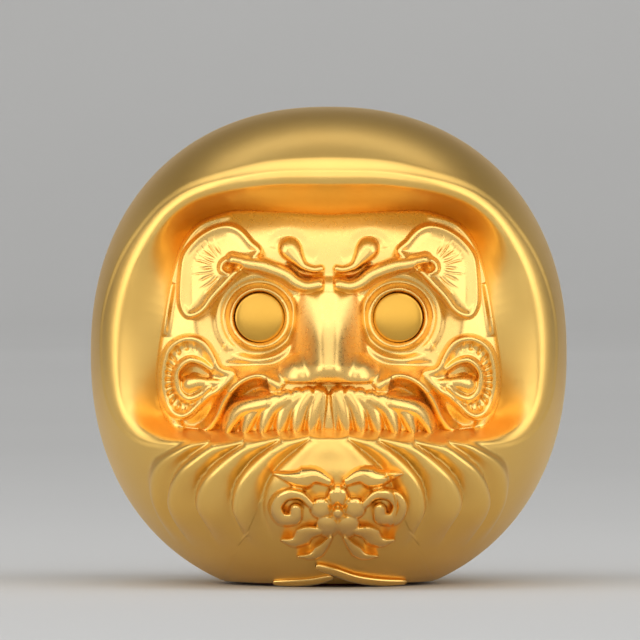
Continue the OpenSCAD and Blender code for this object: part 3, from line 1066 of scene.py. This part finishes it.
@dataclass
class Moustache(Casting):
    """A moustache of tapering locks that sweep down and out from under the nose."""

    locks: int = 6

    def span(self) -> Tuple[float, float, float, float]:
        """The whole moustache, on both sides."""
        return -15.0, 15.0, -14.6, -6.0

    def lock(self, s: float) -> Array:
        """One lock's middle line.

        Args:
            s: Place of the lock, from 0 in the middle to 1 outside.

        Returns:
            The line from root to tip.
        """
        root = np.array([-1.2 - 6.6 * s, -7.4 - 1.2 * s**1.5])
        tip = np.array([-2.3 - 10.8 * s**1.1, -13.6 - 0.3 * s])
        bow = np.array([-0.2 - 1.4 * s, 0.5 + 0.9 * s])
        upper = root * 0.62 + tip * 0.38 + bow * 0.8
        lower = root * 0.3 + tip * 0.7 + bow * 0.6
        return smooth_line([root, upper, lower, tip])

    def height(self, u: Array, v: Array) -> Array:
        """Height of the moustache.

        Args:
            u: Places across.
            v: Places up.

        Returns:
            The heights.
        """
        u = -np.abs(u)
        h = slab(depth_inside(u, v, smooth_line(MOUSTACHE_PAD)), 0.8, 0.6)
        # Each lock swells a little and then runs out to a point; every second one is higher.
        for i in range(self.locks):
            s = i / (self.locks - 1)
            gap, share = nearest(u, v, self.lock(s))
            width = (1.05 + 0.4 * share) * (1 - share**2.4) + 0.1
            crest = (1.5 + 0.3 * s + 0.2 * (i % 2)) * (1 - 0.3 * share**2)
            h = higher(h, bead(gap, width, crest), 0.12)
        gap, share = nearest(u, v, np.array(PARTING_LOCK))
        return higher(h, bead(gap, 0.6 - 0.3 * share, 1.3 - 0.5 * share), 0.12)


@dataclass
class Eye:
    """A blank, burnished eye: a low dome let into its socket."""

    face: Face
    side: Side
    sink: float = 1.3
    rise: float = 0.5
    tilt: float = 0.12
    tilt_degrees: float = 40.0
    clearance: float = 0.02
    rings: int = 26
    around: int = 96

    def build(self, workshop: Workshop) -> None:
        """Makes the dome with its rim.

        Args:
            workshop: Where its finish comes from.
        """
        ex, ez = self.face.eye
        cx = ex * -self.side.value
        cz = ez + self.face.middle_z
        front = float(self.face.seat_y(np.array(ex), np.array(cz)))
        reach = self.face.eye_r + self.clearance
        t = np.linspace(0, 1, self.rings)[:, None]
        a = np.linspace(0, 2 * np.pi, self.around, endpoint=False)[None, :]
        r = np.vstack([reach * np.sin(t * np.pi / 2), [[reach], [reach]]])
        y = np.vstack([self.sink - self.rise * np.cos(t * np.pi / 2), [[self.sink + 1], [self.sink + 2.6]]])
        turn = math.radians(-self.tilt_degrees if self.side is Side.LEFT else 180 + self.tilt_degrees)
        y = front + y - self.tilt * r * np.cos(a - turn)
        points = np.stack([cx + r * np.cos(a), y, cz + r * np.sin(a)], axis=2)
        piece = grid_object(f"{self.side.word}_eye_dome", points, wrap=True)
        # The darker gold on the dome is painted shade of its deep socket.
        workshop.fit(piece, SOCKET_SHADED_GOLD, Slot.POLISHED, f"{self.side.word}_eye")


# ---------------------------------------------------------------- shells


# Creases of the robe's left half, in millimetres: x and the height above the ground.
PLEATS = [
    [(-17.4, 18.6), (-20.3, 17.1), (-21.9, 15.9), (-22.5, 14.1), (-22.3, 11.8), (-21.5, 9.2), (-20.3, 6.9),
     (-18.4, 4.0), (-16.0, 1.5)],
    [(-14.6, 18.4), (-17.3, 16.4), (-18.7, 14.6), (-19.4, 12.3), (-19.3, 10.1), (-18.5, 7.4), (-16.6, 4.4),
     (-14.6, 1.5)],
    [(-10.4, 18.5), (-13.2, 16.6), (-15.0, 14.6), (-15.8, 12.3), (-15.4, 10.1), (-14.5, 6.9), (-12.9, 3.7),
     (-11.4, 1.5)],
    [(-6.0, 18.9), (-8.8, 17.0), (-10.6, 14.9), (-11.3, 12.3), (-11.2, 10.1), (-10.6, 7.4), (-9.3, 4.6),
     (-7.8, 1.5)],
    [(-2.4, 19.0), (-5.1, 17.0), (-6.7, 15.3), (-7.6, 13.4), (-8.0, 11.0), (-7.6, 8.0), (-6.6, 5.0),
     (-5.6, 1.5)],
]


@dataclass
class Robe:
    """Pleats that fan out under the chin and fade towards the foot, over a round belly."""

    depth: float = 2.0
    belly: float = 1.6
    belly_z: float = 13.5

    def height(self, x: Array, z: Array) -> Array:
        """How far the pleats stand out of the body.

        Args:
            x: Places in the front view.
            z: Heights above the ground.

        Returns:
            The heights.
        """
        u = -np.abs(x)
        lines = []
        for crease in PLEATS:
            line = smooth_line(crease)[::-1]
            lines.append(np.interp(z, line[:, 1], line[:, 0]))
        fade = ramp(z, 4.5, 12.0) * (0.65 + 0.35 * ramp(-z, -19.5, -16.0)) * ramp(-z, -22.0, -19.5)
        h = np.zeros(x.shape)
        for k, (a, b) in enumerate(zip(lines, lines[1:])):
            # The outermost pleat is lower and softer than the others.
            skew, share, blunt = (0.8, 0.6, 1.6) if k == 0 else (0.6, 1.0, 0.9)
            f = np.clip((u - a) / np.maximum(b - a, 0.2), 0, 1)
            pleat = self.depth * share * np.clip(np.sin(np.pi * f**skew), 0, 1) ** blunt
            h = np.maximum(h, np.where((u >= a) & (u < b), pleat, 0))
        # One broad, flat pleat covers the middle of the belly.
        last = lines[-1]
        f = np.clip((u - last) / np.maximum(-last, 0.2), 0, 1)
        dome = self.depth * np.sin(np.pi / 2 * f**0.7) ** 0.9
        h = np.where(u >= last, dome, h)
        belly = hump(z - self.belly_z, 4.5, self.belly)
        belly = belly * ramp(-z, -19.5, -15.5) * ramp(u, -22.0, -12.0)
        return fade * np.where(u < lines[0], 0, h) + belly

    def front_y(self, body: Body, x: Array, z: Array) -> Array:
        """Place along Y of the front of the pleated robe.

        Args:
            body: The body that the robe lies on.
            x: Places in the front view.
            z: Heights above the ground.

        Returns:
            The places along Y.
        """
        px, pz = x, z
        for _ in range(5):
            out = np.stack([px, body.front_y(px, pz), pz - body.waist_z])
            lift = self.height(px, pz) / np.linalg.norm(out, axis=0)
            px = x - out[0] * lift
            pz = z - out[2] * lift
        return out[1] * (1 + lift)


@dataclass
class FrontShell:
    """The front casting: hood, rolled crest, the cove round the face and the robe."""

    body: Body
    face: Face
    robe: Robe = field(default_factory=Robe)
    around: int = 640
    cove_rows: int = 58
    side_rows: int = 88
    tuck: float = 1.2
    crest_turn: float = 1.6
    setback: float = 0.5
    cove_bulge: float = 0.55
    chin_roll: float = 0.5

    def polar(self, outline: Outline, angles: Array) -> Array:
        """Radius of an outline about the waist's middle, at each angle.

        Args:
            outline: Left half of the outline, from the middle of the face.
            angles: The angles, from -pi to pi.

        Returns:
            The radii.
        """
        ring = whole_outline(outline, self.face.middle_z - self.body.waist_z)
        angle = np.arctan2(ring[:, 1], ring[:, 0])
        order = np.argsort(angle)
        radius = np.hypot(ring[:, 0], ring[:, 1])
        return np.interp(angles, angle[order], radius[order], period=2 * np.pi)

    def shape_y(self, x: Array, z: Array, r: Array, edge: Array, crest: Array) -> Array:
        """Place along Y of the hood, the crest and the cove.

        Args:
            x: Places in the front view.
            z: Heights above the ground.
            r: Distance from the waist's middle in the front view.
            edge: Distance at which the face's edge lies.
            crest: Distance at which the crest lies.

        Returns:
            The places along Y.
        """
        y_body = self.body.front_y(x, z)
        scale = crest / np.maximum(r, 1e-6)
        dz = z - self.body.waist_z
        y_crest = self.body.front_y(x * scale, self.body.waist_z + dz * scale)
        scale = edge / np.maximum(r, 1e-6)
        y_edge = self.face.seat_y(x * scale, self.body.waist_z + dz * scale) + self.setback
        fall = y_edge - y_crest
        f = (r - edge) / (crest - edge)
        within = np.clip(f, 0, 1)
        bulge = np.maximum(fall, 2.5) * self.cove_bulge * within * (1 - within)
        cove = y_crest + fall * (1 - f) + bulge
        # The crest is crisp under the chin and rounder towards the top.
        angle = np.degrees(np.arctan2(np.abs(x), -dz))
        soft = np.interp(angle, (0, 40, 60, 90, 130, 180), (0.8, 1.2, 2.3, 2.7, 3.0, 3.2))
        return y_body + np.logaddexp(0, (cove - y_body) / soft) * soft

    def build(self, workshop: Workshop) -> None:
        """Makes the front shell.

        Args:
            workshop: Where its finish comes from.
        """
        body = self.body
        phi = np.linspace(-np.pi, np.pi, self.around, endpoint=False)[None, :]
        edge = self.polar(COVE_EDGE, phi[0])[None, :]
        crest = self.polar(HOOD_CREST, phi[0])[None, :]
        start = edge - self.tuck
        r = start + (crest + self.crest_turn - start) * np.linspace(0, 1, self.cove_rows)[:, None]
        x = r * np.cos(phi)
        z = body.waist_z + r * np.sin(phi)
        inner = np.stack([x, self.shape_y(x, z, r, edge, crest), z], axis=2)
        middle = np.array([0, 0, body.waist_z])
        turn = inner[-1:] - middle
        psi0 = np.arctan2(np.hypot(turn[..., 0], turn[..., 2]), -turn[..., 1])
        end, at_foot = self.last_angle(phi)
        # A row close before the last keeps the edge crisp.
        t = np.concatenate([np.linspace(0, 1, self.side_rows + 1)[1:-1], [0.998, 1.0]])[:, None]
        way = self.direction(phi, psi0 + (end - psi0) * t)
        extra = np.linalg.norm(turn, axis=2) - body.ray(*self.direction(phi, psi0))
        ray = body.ray(*way) + extra * (1 - ramp(t * 12, 0, 1))
        outer = np.stack([ray * k for k in way], axis=2) + middle
        points = self.pleated(np.vstack([inner, outer]), phi, edge, crest)
        points = np.vstack([points, self.rim(points[-1], at_foot[0])])
        piece = grid_object("front_shell_cast", points, wrap=True)
        workshop.fit(piece, SATIN_GOLD, Slot.SATIN, "front_shell")

    def last_angle(self, phi: Array) -> Tuple[Array, Array]:
        """Angle from the front at which the shell ends, at the seam or at the foot.

        Args:
            phi: Angles round the Y axis.

        Returns:
            The angles, and which of them lie on the foot's edge.
        """
        body = self.body
        never = 4.0
        end = np.full(phi.shape, np.pi / 2)
        for _ in range(30):
            ray = body.ray(*self.direction(phi, end))
            by_seam = np.arccos(np.clip(-body.seam_y / ray, -1, 1))
            low = (body.foot_z - body.waist_z) / np.minimum(np.sin(phi), -1e-3) / ray
            meets = (np.sin(phi) < 0) & (low < 1)
            by_foot = np.where(meets, np.arcsin(np.clip(low, -1, 1)), never)
            end = 0.5 * end + 0.5 * np.minimum(by_seam, by_foot)
        return end, by_foot < by_seam

    def pleated(self, points: Array, phi: Array, edge: Array, crest: Array) -> Array:
        """Lifts the robe's pleats, and the roll under the chin, out of the shell.

        Args:
            points: The shell's points, row by row.
            phi: Angles round the Y axis.
            edge: Distance from the waist's middle at which the face's edge lies.
            crest: Distance at which the crest lies.

        Returns:
            The lifted points.
        """
        x, y, z = (points[..., i] for i in range(3))
        out = points - np.array([0, 0, self.body.waist_z])
        out = out / np.linalg.norm(out, axis=2, keepdims=True)
        r = np.hypot(x, z - self.body.waist_z)
        lift = self.robe.height(x, z) * ramp(-y, 2.0, 9.0)
        lift = lift * ramp((r - edge) / (crest - edge), 0.1, 1.0)
        lift = lift + ramp(-np.sin(phi), 0.5, 0.8) * hump(r - crest - 1.2, 1.4, self.chin_roll)
        return points + out * lift[..., None]

    def direction(self, phi: Array, psi: Array) -> Tuple[Array, Array, Array]:
        """Unit direction at an angle round the Y axis and one away from the front."""
        flat = np.sin(psi)
        return flat * np.cos(phi), -np.cos(psi) + 0 * phi, flat * np.sin(phi)

    def rim(self, last: Array, at_foot: Array) -> Array:
        """Rows that turn in at the seam and under the foot.

        Args:
            last: The last row of the outside.
            at_foot: Which of its points lie on the foot's edge.

        Returns:
            Two more rows.
        """
        body = self.body
        middle = np.array([0, body.seam_y, body.waist_z])
        inward = (middle - last) * np.array([1, 0, 1])
        inward /= np.maximum(np.linalg.norm(inward, axis=1, keepdims=True), 1e-6)
        reach = np.maximum(np.hypot(last[:, 0], last[:, 1]), 1e-6)[:, None]
        flat = last * np.array([1, 1, 0]) / reach * body.pocket_r
        low = flat + np.array([0, 0, body.foot_z])
        high = flat + np.array([0, 0, body.pocket_z])
        foot = at_foot[:, None]
        first = np.where(foot, low, last + inward * body.lip * 0.5)
        second = np.where(foot, high, last + inward * body.lip)
        return np.stack([first, second])


@dataclass
class BackShell:
    """The plain back casting."""

    body: Body
    around: int = 260
    levels: int = 150

    def build(self, workshop: Workshop) -> None:
        """Makes the back shell.

        Args:
            workshop: Where its finish comes from.
        """
        body = self.body
        half = math.pi / 2
        down = body.down
        foot = -math.asin(min(1.0, ((body.waist_z - body.foot_z) / down)) ** (body.squareness / 2))
        up = body.crown_z - body.waist_z
        top = half - math.asin(min(1.0, (body.seam_y / body.radius) ** (body.squareness / 2)))
        t = np.linspace(foot, top, self.levels)
        tall = np.where(t < 0, down, up)
        z = body.waist_z + np.sign(t) * tall * np.abs(np.sin(t)) ** (2 / body.squareness)
        r = np.maximum(body.reach(z), body.seam_y)
        z = np.concatenate([[body.pocket_z, body.foot_z], z])
        r = np.concatenate([[body.pocket_r, body.pocket_r], r])
        first = np.arcsin(np.clip(body.seam_y / r, -1, 1))[:, None]
        # Columns close to the first and the last keep the seam crisp.
        s = np.linspace(0, 1, self.around)
        s = np.concatenate([[0.0, 0.001], s[1:-1], [0.999, 1.0]])[None, :]
        a = first + (np.pi - 2 * first) * s
        z = np.broadcast_to(z[:, None], a.shape)
        points = np.stack([r[:, None] * np.cos(a), r[:, None] * np.sin(a), z], axis=2)
        middle = np.array([0.0, body.seam_y, body.waist_z])
        rims = []
        for column in (points[:, :1], points[:, -1:]):
            inward = (middle - column) * np.array([1, 0, 1])
            inward = inward / np.maximum(np.linalg.norm(inward, axis=2, keepdims=True), 1e-6)
            rims.append(column + inward * body.lip)
        points = np.hstack([rims[0], points, rims[1]])
        piece = grid_object("back_shell_cast", points, inner=(0.0, 0.0, 29.0))
        workshop.fit(piece, SATIN_GOLD, Slot.SATIN, "back_shell")


# ---------------------------------------------------------------- trim


@dataclass(frozen=True)
class Stroke:
    """A leaf or a tendril, measured from the middle of the blossom."""

    line: Outline
    half_widths: Place
    tall: float


# Leaves and tendrils on the right of the blossom; the left ones mirror them.
STROKES = [
    Stroke([(1.2, 4.0), (2.9, 4.7), (4.9, 4.3), (7.9, 4.9)], (0.8, 1.6, 0.3), 2.3),
    Stroke(
        [(3.3, 1.1), (4.7, 2.3), (6.6, 2.2), (7.7, 0.8), (7.0, -0.8), (5.4, -0.7), (5.2, 0.4)],
        (0.65, 1.05, 1.0),
        2.2,
    ),
    Stroke([(2.2, -2.4), (3.7, -2.7), (5.3, -3.8), (6.9, -3.6)], (0.6, 1.35, 0.3), 2.1),
    Stroke([(0.9, -3.3), (1.9, -4.6), (3.2, -5.6), (4.9, -5.7)], (0.4, 0.9, 0.25), 1.8),
]


@dataclass
class Emblem:
    """A plum blossom among scrolling leaves, raised on the belly."""

    body: Body
    robe: Robe
    middle: Tuple[float, float] = (1.1, 9.7)
    petals: int = 5
    petal_r: float = 1.6
    petal_tall: float = 2.2
    sink: float = 0.15
    step: float = 0.09

    def height(self, x: Array, z: Array) -> Array:
        """Height of the ornament on the belly.

        Args:
            x: Places in the front view.
            z: Heights above the ground.

        Returns:
            The heights.
        """
        h = np.full(x.shape, DROP_LIMIT)
        cx, cz = self.middle
        for i in range(self.petals):
            a = math.radians(90 + 360 * i / self.petals)
            px = cx + self.petal_r * 1.35 * math.cos(a)
            pz = cz + self.petal_r * 1.35 * math.sin(a)
            gap = np.hypot(x - px, z - pz)
            h = higher(h, bead(gap, self.petal_r, self.petal_tall), 0.08)
        gap = np.hypot(x - cx, z - cz)
        h = higher(h + hump(gap, 1.2, -0.5) * (h > 0), bead(gap, 0.9, 2.5), 0.1)
        for stroke in STROKES:
            gap, share = nearest(np.abs(x - cx), z - cz, smooth_line(stroke.line))
            width = np.interp(share, (0, 0.45, 1), stroke.half_widths)
            h = higher(h, bead(gap, width, stroke.tall), 0.1)
        return h

    def build(self, workshop: Workshop) -> None:
        """Makes the ornament.

        Args:
            workshop: Where its finish comes from.
        """
        x, z = np.meshgrid(np.arange(-8.6, 11.2, self.step), np.arange(2.2, 16.4, self.step))
        h = self.height(x, z)
        y = self.robe.front_y(self.body, x, z) - h + self.sink
        piece = grid_object("belly_emblem_burnished", np.stack([x, y, z], axis=2), keep=h > -1.1)
        workshop.fit(piece, POLISHED_GOLD, Slot.POLISHED, "belly_emblem")


# Middle lines of the two hem bands, which cross under the belly: x and the height above ground.
RIGHT_HEM = [(-1.6, 3.0), (0.4, 2.4), (3.2, 1.4), (6.4, 0.9), (9.6, 0.75)]
LEFT_HEM = [(0.6, 1.5), (-1.6, 0.95), (-4.1, 0.7), (-6.9, 0.6)]


@dataclass
class HemBand:
    """A rounded band along the hem of the robe, laid on the body's surface."""

    body: Body
    name: str
    node: str
    lift: float
    path: Outline
    half_width: float = 0.75
    height: float = 0.8
    around: int = 28

    def build(self, workshop: Workshop) -> None:
        """Sweeps the band along its path.

        Args:
            workshop: Where its finish comes from.
        """
        line = smooth_line(self.path, steps=24)
        x, z = line[:, 0], line[:, 1]
        mid = np.stack([x, self.body.front_y(x, z), z], axis=1)
        along = np.gradient(mid, axis=0)
        along /= np.linalg.norm(along, axis=1, keepdims=True)
        e = 0.01
        slope_x = (self.body.front_y(x + e, z) - self.body.front_y(x - e, z)) / (2 * e)
        slope_z = (self.body.front_y(x, z + e) - self.body.front_y(x, z - e)) / (2 * e)
        normal = np.stack([slope_x, -np.ones(len(x)), slope_z], axis=1)
        normal /= np.linalg.norm(normal, axis=1, keepdims=True)
        across = np.cross(along, normal)
        a = np.linspace(0, 2 * np.pi, self.around, endpoint=False)
        slim = np.clip(np.sin(np.pi * np.linspace(0, 1, len(x))), 0, 1) ** 0.3
        side = np.cos(a)[None, :, None] * (self.half_width * (0.25 + 0.75 * slim))[:, None, None]
        rise = (np.sin(a)[None, :, None] * 0.6 + 0.1) * self.height + self.lift
        rise = rise * (0.5 + 0.5 * slim)[:, None, None]
        points = mid[:, None] + across[:, None] * side + normal[:, None] * rise
        behind = (mid - normal)[len(mid) // 2]
        piece = grid_object(self.name, points, wrap=True, inner=tuple(behind))
        workshop.fit(piece, POLISHED_GOLD, Slot.SATIN, self.node)


@dataclass
class FootPad:
    """The felt disc under the foot, slightly rounded at its edge."""

    rounding: float = 0.3
    around: int = 160

    def build(self, workshop: Workshop) -> None:
        """Makes the pad.

        Args:
            workshop: Where its finish comes from.
        """
        low, high = box_mm("base_felt")
        r = float(high[0] - low[0]) / 2
        t = np.linspace(0, np.pi / 2, 7)
        edge = [(r - self.rounding * (1 - math.sin(k)), self.rounding * (1 - math.cos(k))) for k in t]
        tall = float(high[2] - low[2])
        inner = [(r * k, 0.0) for k in np.linspace(0.02, 0.97, 24)]
        upper = [(a, tall - b) for a, b in reversed(edge)]
        profile = np.array(inner + edge + upper + [(a, tall) for a, _ in reversed(inner)])
        a = np.linspace(0, 2 * np.pi, self.around, endpoint=False)[None, :]
        # Cut out with scissors, so it is not perfectly round.
        radius = profile[:, :1] * (1 + 0.001 * np.sin(a * 7) * np.sin(a * 3 + 1))
        z = np.broadcast_to(profile[:, 1:] + float(low[2]), radius.shape)
        points = np.stack([radius * np.cos(a), radius * np.sin(a), z], axis=2)
        piece = grid_object("base_felt_pad", points, wrap=True, inner=(0.0, 0.0, 0.5))
        workshop.fit(piece, WOOL_FELT, Slot.FELT, "base_felt")


# ---------------------------------------------------------------- studio


@dataclass
class Lamp:
    """A large soft light that looks at the ornament."""

    name: str
    place: Place
    size: Tuple[float, float]
    power: float
    target: Place = (0.0, 0.0, 0.03)

    def build(self) -> None:
        """Adds the light to the scene."""
        data = bpy.data.lights.new(self.name, "AREA")
        data.shape = "RECTANGLE"
        data.size, data.size_y = self.size
        data.energy = self.power
        lamp = bpy.data.objects.new(self.name, data)
        lamp.location = self.place
        lamp.rotation_euler = vector_angles(np.array(self.target) - np.array(self.place))
        lamp.visible_camera = False
        bpy.context.scene.collection.objects.link(lamp)


def vector_angles(direction: Array) -> Place:
    """Rotation that turns a lamp to look along a direction."""
    x, y, z = direction
    return math.atan2(math.hypot(x, y), -z), 0.0, -math.atan2(x, y)


@dataclass
class Studio:
    """A pale seamless floor, soft lights and the camera.

    The floor runs from front_end to curve_start, in metres along Y, and then curves up.
    """

    distance: float = 1.6
    elevation: float = 0.8
    frame_width_mm: float = 80.7
    sensor_mm: float = 36.0
    aim_mm: Place = (-1.1, 0.0, 33.2)
    front_end: float = -6.0
    curve_start: float = 2.2
    curve_r: float = 1.0
    half_width: float = 6.0

    def floor(self) -> None:
        """Lays the floor, which curves up into the backdrop."""
        a = np.linspace(0, np.pi / 2, 25)
        y = np.concatenate([[self.front_end], self.curve_start + self.curve_r * np.sin(a)])
        z = np.concatenate([[0.0], self.curve_r * (1 - np.cos(a))])
        x = np.linspace(-self.half_width, self.half_width, 9)
        points = np.stack(np.broadcast_arrays(x[None, :], y[:, None], z[:, None]), axis=2) / MM
        piece = grid_object("studio_floor", points, inner=(0.0, 3000.0, -3000.0))
        piece.data.materials.append(STUDIO_PAPER.build())

    def world(self) -> None:
        """Surrounds the scene with a soft grey that is darker overhead."""
        world = bpy.data.worlds.new("studio_air")
        bpy.context.scene.world = world
        world.use_nodes = True
        tree = world.node_tree
        tree.nodes.clear()
        where = add_node(tree, "ShaderNodeTexCoord").outputs["Generated"]
        height = add_node(tree, "ShaderNodeSeparateXYZ", {"Vector": where}).outputs["Z"]
        stops = {"Value": height, "From Min": 0.12, "From Max": 0.56, "To Min": 0.5, "To Max": 0.1}
        level = add_node(tree, "ShaderNodeMapRange", stops).outputs["Result"]
        light = {"Color": linear("#f4f1ec"), "Strength": level}
        back = add_node(tree, "ShaderNodeBackground", light)
        add_node(tree, "ShaderNodeOutputWorld", {"Surface": back.outputs["Background"]})

    def camera(self) -> None:
        """Sets the camera level with the figure's face."""
        data = bpy.data.cameras.new("camera")
        data.sensor_width = self.sensor_mm
        data.lens = self.sensor_mm * self.distance / (self.frame_width_mm * MM)
        camera = bpy.data.objects.new("camera", data)
        tilt = math.radians(self.elevation)
        aim = np.array(self.aim_mm) * MM
        camera.location = aim + self.distance * np.array([0, -math.cos(tilt), math.sin(tilt)])
        camera.rotation_euler = (math.pi / 2 - tilt, 0, 0)
        bpy.context.scene.collection.objects.link(camera)
        bpy.context.scene.camera = camera

    def build(self) -> None:
        """Sets up everything round the ornament."""
        self.floor()
        self.world()
        self.camera()
        for lamp in (
            Lamp("left_bank", (-1.0, -0.25, 0.5), (0.8, 1.3), 5.6),
            Lamp("right_bank", (1.0, -0.25, 0.5), (0.8, 1.3), 5.4),
            Lamp("front_bank", (0.0, -1.0, 0.7), (2.0, 1.4), 10.6),
            Lamp("top_bank", (0.0, -0.3, 1.0), (1.2, 0.6), 2.7),
            Lamp("backdrop_wash", (0.0, 1.2, 2.2), (3.0, 1.0), 39.0, target=(0.0, 3.2, 0.6)),
        ):
            lamp.build()
        bpy.context.scene.view_settings.view_transform = "Standard"


# ---------------------------------------------------------------- assembly


def main() -> None:
    """Builds the ornament piece by piece, then the studio."""
    logging.basicConfig(level=logging.INFO, format="%(message)s")
    workshop = Workshop()
    body = Body.from_frame()
    face = Face.from_frame()
    shell = FrontShell(body, face)
    shell.build(workshop)
    BackShell(body).build(workshop)
    face.build(workshop)
    for side in Side:
        Brow(face, side).build(workshop, f"{side.word}_brow")
        CheekScroll(face, side).build(workshop, f"{side.word}_cheek_scroll")
        Eye(face, side).build(workshop)
    Moustache(face, Side.LEFT).build(workshop, "moustache")
    Emblem(body, shell.robe).build(workshop)
    HemBand(body, "left_hem_band_rolled", "left_hem_band", 0.05, LEFT_HEM).build(workshop)
    HemBand(body, "right_hem_band_rolled", "right_hem_band", 0.25, RIGHT_HEM).build(workshop)
    FootPad().build(workshop)
    for node in ("left_eye_retainer", "right_eye_retainer", "base_plate"):
        workshop.dress(node, TURNED_BRASS)
    for node in ("face_screws", "seam_dowels", "base_screws"):
        workshop.dress(node, ZINC_STEEL)
    for node in ("ballast_bolt", "ballast_washer", "ballast_nut"):
        workshop.dress(node, ZINC_STEEL)
    workshop.dress("ballast_weight", CAST_IRON)
    Studio().build()


if __name__ == "__main__":
    main()
